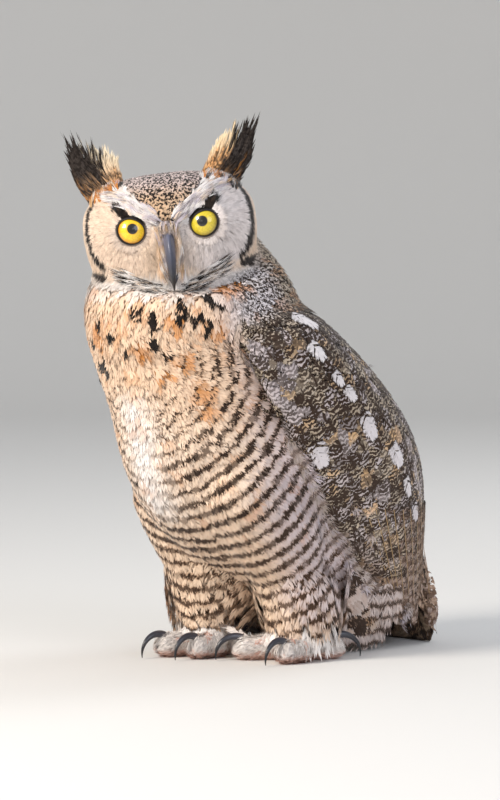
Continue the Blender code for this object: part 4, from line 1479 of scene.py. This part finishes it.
def eye_frame(side, gaze=(0.0, -1.0, 0.0)):
    """The middle of an eyeball and its own axes: aside, above and ahead."""
    centre = from_head(np.array((side * EYE_ASIDE, -EYE_FORWARD, -EYE_DROP)) / MM)
    gaze = unit(np.array(gaze) @ HEAD_AXES.T)
    aside = unit(np.cross(gaze, HEAD_Z))
    return centre, np.stack((aside, np.cross(aside, gaze), gaze))


def iris_material(name, yellow, outer):
    finish, tree, shader = new_finish(name, {"Roughness": 0.35, "Coat Weight": 1.0, "Coat Roughness": 0.02})
    place = stored(tree, "iris")
    reach = value_of(tree, "VectorMath", {0: place}, "Value", operation="LENGTH")
    ring = value_of(tree, "ValToRGB", {"Fac": reach / EYEBALL})
    stops = [(0.0, paint("050406")), (PUPIL / EYEBALL, paint("050406")),
             ((PUPIL + 0.35) / EYEBALL, mix(yellow, outer, 0.5)), ((PUPIL + 1.2) / EYEBALL, yellow),
             (0.62, yellow), (0.76, outer), (IRIS / EYEBALL, paint("140C07")), (1.0, paint("140C07"))]
    ramp = ring.socket.node.color_ramp.elements
    while len(ramp) < len(stops):
        ramp.new(0.5)
    for element, (at, colour) in zip(ramp, stops):
        element.position = at
        element.color = (*colour, 1)
    rays = noise_at(value_of(tree, "VectorMath", {0: place}, operation="NORMALIZE"), 11.0, 3.0)
    shade = value_of(tree, "MapRange", {"Value": rays + noise_at(place, 0.9, 2.0), "From Min": 0.7,
                                        "From Max": 1.3, "To Min": 0.78, "To Max": 1.18})
    plug(shader, {"Base Color": scaled(ring, shade)})
    return finish


def add_eye(side_name, side, yellow, outer):
    centre, axes = eye_frame(side, (-side * math.sin(GAZE_IN), -1.0, math.sin(GAZE_UP)))
    radius = EYE_RADIUS / MM - 0.05
    angle = np.radians(0.5 + 3.5 * np.arange(46))[:, None]
    rings = turned(radius * np.sin(angle), radius * np.cos(angle), 64)
    data = tube_mesh(f"eyeball_{side_name}", centre + rings * MM @ axes, caps=[(0, 1), (-1, -1)])
    points = rings.reshape(-1, 3)
    store(data, iris=points * (1, 1, 0) * np.where(points[:, 2:] < 0, 2, 1))
    add_piece(f"eyeball_{side_name}", data, "eye", iris_material(f"iris_{side_name}", yellow, outer),
              f"eye_{side_name}")


# Painted shade: the left eye, on the shaded side, has a darker, greener iris than the lit right one.
add_eye("left", 1, paint("DCC42A"), paint("AE9420"))
add_eye("right", -1, paint("F8CC18"), paint("DE940E"))


# ---------------------------------------------------------------- eyelids
# A bare dark leathery edge round each eye, thickest over its outer side, that runs out under the feathers,
# and fine pale hairs that start on its edge and lie outwards over it.

# Along a lid, from the eye outwards: how far aside and how far ahead in millimetres, and how pale.
LID_ROWS = np.array([(0.0, 0.0, 0), (0.2, 0.35, 0), (0.5, 0.40, 0), (0.85, 0.15, 0), (1.2, -0.5, 0.3),
                     (1.8, -1.6, 0.9), (3.2, -4.0, 1.0)])
LID_LEAN = 0.45  # how far its thickest side turns outwards from the top
LID_OPENING = 10.75  # radius, in millimetres


def eye_ring_bristles(side_name, side, rng):
    count = 330
    turn = np.linspace(0, 2 * math.pi, count, endpoint=False) + rng.normal(0, 0.02, count)
    centre, axes = eye_frame(side)
    ring = columns(np.cos(turn), np.sin(turn), 0)
    inner = ring * (12.0 + 1.4 * rng.random(count))[:, None] + (0, 0, 8.6)
    outer = ring * (15.5 + 5.5 * rng.random(count))[:, None] + (0, 0, 7.8)
    starts, tips = (centre + places * MM @ axes for places in (inner, outer))
    bed = stretched(starts, tips, 1.1, 4, unit(axes[2] + 0.35 * ring @ axes), 0.4)
    forms = [bristle_form(rng, 6, 1.1, blades=4, lift=0.5) for _ in range(8)]
    look = plain_look(tips, surface(tips)[1], np.zeros(count), rng, 0.2)

    def unwrapped():
        return ring[:, :2] * (0.1 + 0.3 * rng.random((count, 1))) + 0.5

    coat_piece(f"eye_ring_{side_name}", bed, forms, rng, look, unwrapped, "face_feathers", FACE_FINISH,
               rise=(0, 0), camber=0, shade=0.9)


def lid_material():
    finish, tree, shader = new_finish("lid_skin", {"Roughness": 0.5})
    tone = blended(paint("17100E"), paint("DCCBC0"), stored(tree, "edge", "Fac"))
    grain = value_of(tree, "TexNoise", {"Scale": 900.0})
    plug(shader, {"Base Color": tone, "Normal": relief(grain, 0.4, 0.3 * MM)})
    return finish


def add_lid(side_name, side, finish):
    centre, axes = eye_frame(side)
    turn = np.linspace(0, 2 * math.pi, 72, endpoint=False)
    out, up = np.cos(turn) * side * np.sign(axes[0] @ HEAD_X), np.sin(turn)
    lean = np.clip(up * math.cos(LID_LEAN) - out * math.sin(LID_LEAN), 0, 1)
    opening = LID_OPENING - 1.9 * lean**2 - 0.4 * np.clip(-up, 0, 1) ** 2
    thick = 1 + 0.5 * np.clip(up + 0.5 * out, 0, 1)
    aside, ahead, pale = LID_ROWS.T[:, :, None]
    rest = np.sqrt(EYEBALL**2 - opening**2) + 0.12
    rings = turned(opening + aside * thick, rest + ahead * thick, 72)
    data = tube_mesh(f"eyelid_{side_name}", centre + rings * MM @ axes)
    # Painted shadow: the pale outer slope fades to dark over the lid's upper part, as the brow's shadow.
    store(data, edge=(pale * step(up, 0.55, -0.1)).ravel())
    add_piece(f"eyelid_{side_name}", data, "face_feathers", finish)


for seed, side in enumerate(SIDES, 59):
    eye_ring_bristles(*side, np.random.default_rng(seed))
LID_FINISH = lid_material()
for side in SIDES:
    add_lid(*side, LID_FINISH)


# ---------------------------------------------------------------- bill
# Horn, slate blue above and black to the hooked tip, with a ridge along its top and a nostril in each side.
# The lower half is short and closes up inside the edges of the upper one.


def horn_material(name, pale, dark, roughness=0.32):
    """Horn that goes from pale at share 0 to dark at 1, with fine growth lines."""
    own_values = {"Roughness": roughness, "Coat Weight": 0.25, "Coat Roughness": 0.15}
    finish, tree, shader = new_finish(name, own_values)
    lines = value_of(tree, "TexNoise", {"Scale": 260.0, "Detail": 3.0})
    share = maths("MULTIPLY_ADD", lines, 0.5, stored(tree, "share", "Fac") - 0.25)
    plug(shader, {"Base Color": blended(pale, dark, share), "Normal": relief(lines, 0.15, 0.3 * MM)})
    return finish


def through_rows(rows, count):
    """Rows of numbers, run smoothly through to count rows."""
    rows = np.array([rows[0], *rows, rows[-1]], float)
    t = np.linspace(0, len(rows) - 3, count)
    k = np.minimum(t.astype(int), len(rows) - 4)
    f = (t - k)[:, None]
    a, b, c, d = (rows[k + n] for n in range(4))
    return 0.5 * (2 * b + (c - a) * f + (2 * a - 5 * b + 4 * c - d) * f**2 + (3 * b - 3 * c + d - a) * f**3)


def horn_piece(name, rings, share, finish, node):
    """A closed tube through rings of points, with a number for each ring on its points."""
    data = tube_mesh(name, rings, caps=[(0, -1), (-1, 1)])
    store(data, share=np.repeat(share, rings.shape[1]))
    add_piece(name, data, "horn", finish, node)


def bill_rings(rows, ridge, dents=0.0):
    """Rings across a bill, square to its bend, from rows of (ahead, up, half width, half depth)."""
    y, z, wide, deep = rows.T[:, :, None]
    along_y, along_z = unit(np.gradient(rows[:, :2], axis=0)).T[:, :, None]
    turn = np.linspace(0, 2 * math.pi, 36, endpoint=False)
    c, s = np.cos(turn), np.sin(turn)
    dent = dents * np.exp(-((z + 9) / 2.6) ** 2) * np.exp(-((s - 0.25) / 0.28) ** 2)
    x = wide * c * (1 - ridge * np.clip(s, 0, 1) ** 1.5) * (1 - dent)
    return from_head(columns(x, y + along_z * deep * s, z - along_y * deep * s))


BILL_FINISH = horn_material("bill_horn", paint("71748A"), paint("101014"))
upper = through_rows([(-50, -2, 3.6, 5.0), (-58, -10, 4.4, 6.3), (-64, -20, 4.4, 7.2), (-67.0, -32, 3.8, 6.0),
                      (-67, -43, 2.5, 4.0), (-63.5, -53, 0.5, 0.6)], 44)
horn_piece("upper_bill", bill_rings(upper, 0.42, 0.35), np.linspace(-0.1, 1.25, 44), BILL_FINISH,
           "bill_upper")
lower = through_rows([(-50, -38, 5.0, 3.5), (-56, -43, 4.2, 3.2), (-60, -48, 1.4, 1.2)], 14)
horn_piece("lower_bill", bill_rings(lower, 0.1), np.linspace(0.5, 1, 14), BILL_FINISH, "bill_lower")


# ---------------------------------------------------------------- talons
# Black horn, one tapering arc on each toe, round above and sharp at the tip. Each stands where the frame has
# its claw, and points the way that its toe does.

# Radii in millimetres, of the arc and of its root, and in degrees where the arc starts and ends.
TALON_BEND = 16.0
TALON_ROOT = 3.5
TALON_START, TALON_TIP = 114, -10
TALON_FINISH = horn_material("talon_horn", paint("4A4A55"), paint("0E0E12"), 0.28)


def add_talon(side, number):
    node = f"claw_{side}_{number}"
    level = read_mesh(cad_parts[node].data)[0][:, :2]
    centre = level.mean(axis=0)
    ahead = np.linalg.svd(level - centre)[2][0]
    ahead = ahead * np.sign(ahead @ (centre - middle(f"shank_{side}")[:2]))
    aside = np.array((-ahead[1], ahead[0]))
    forward = (level @ ahead).max() / MM - TALON_BEND - 0.9
    beside = np.mean(((level @ aside).min(), (level @ aside).max())) / MM
    share = np.linspace(0, 1, 30)
    turn = np.radians(TALON_START + (TALON_TIP - TALON_START) * share)[:, None]
    around = np.linspace(0, 2 * math.pi, 20, endpoint=False)
    radius = (TALON_ROOT * (1 - 0.90 * share**1.5))[:, None]
    out = np.cos(around) * radius
    reach = TALON_BEND + np.where(out < 0, out * 0.82, out)
    height = 1 - TALON_BEND * math.sin(math.radians(TALON_TIP)) + reach * np.sin(turn)
    rings = columns(forward + reach * np.cos(turn), beside + np.sin(around) * radius * 0.88, height)
    axes = np.array(((*ahead, 0), (*aside, 0), (0, 0, 1)))
    horn_piece(f"talon_{side}_{number}", rings @ axes * MM, 0.2 + 0.9 * share, TALON_FINISH, node)


for side, _ in SIDES:
    for number in (1, 2, 3, 4):
        add_talon(side, number)


# ---------------------------------------------------------------- feet
# Short whitish hair-like feathers all over the toes, down to the talons. They stand up from the skin more
# than those of the legs do.


def hair_form(rng, length, half):
    return bristle_form(rng, length, half, blades=4, wide=0.50, lift=1.4)


small_coat("coat_toes", share_of(everywhere, "toe") > 0.5, 1.7, 7.5, 1.7, 41, "leg_feathers", hair_form,
           noise_share=0.30, shade=0.62, rise=(0.1, 1.7), flecks=0.10)


# ---------------------------------------------------------------- tail
# The tail's own coverts, long broad vanes that close it above and below. They lie under its quills, and over
# the skin between them.


def tail_form(rng, length, half):
    return feather_form(rng, length, half, barbs=12, fray=0.02, fullness=1.3)


small_coat("coat_tail", share_of(everywhere, "tail") > 0.5, 8, 40, 10, 42, "back_feathers", tail_form,
           finish=WING_FINISH, rows=6)
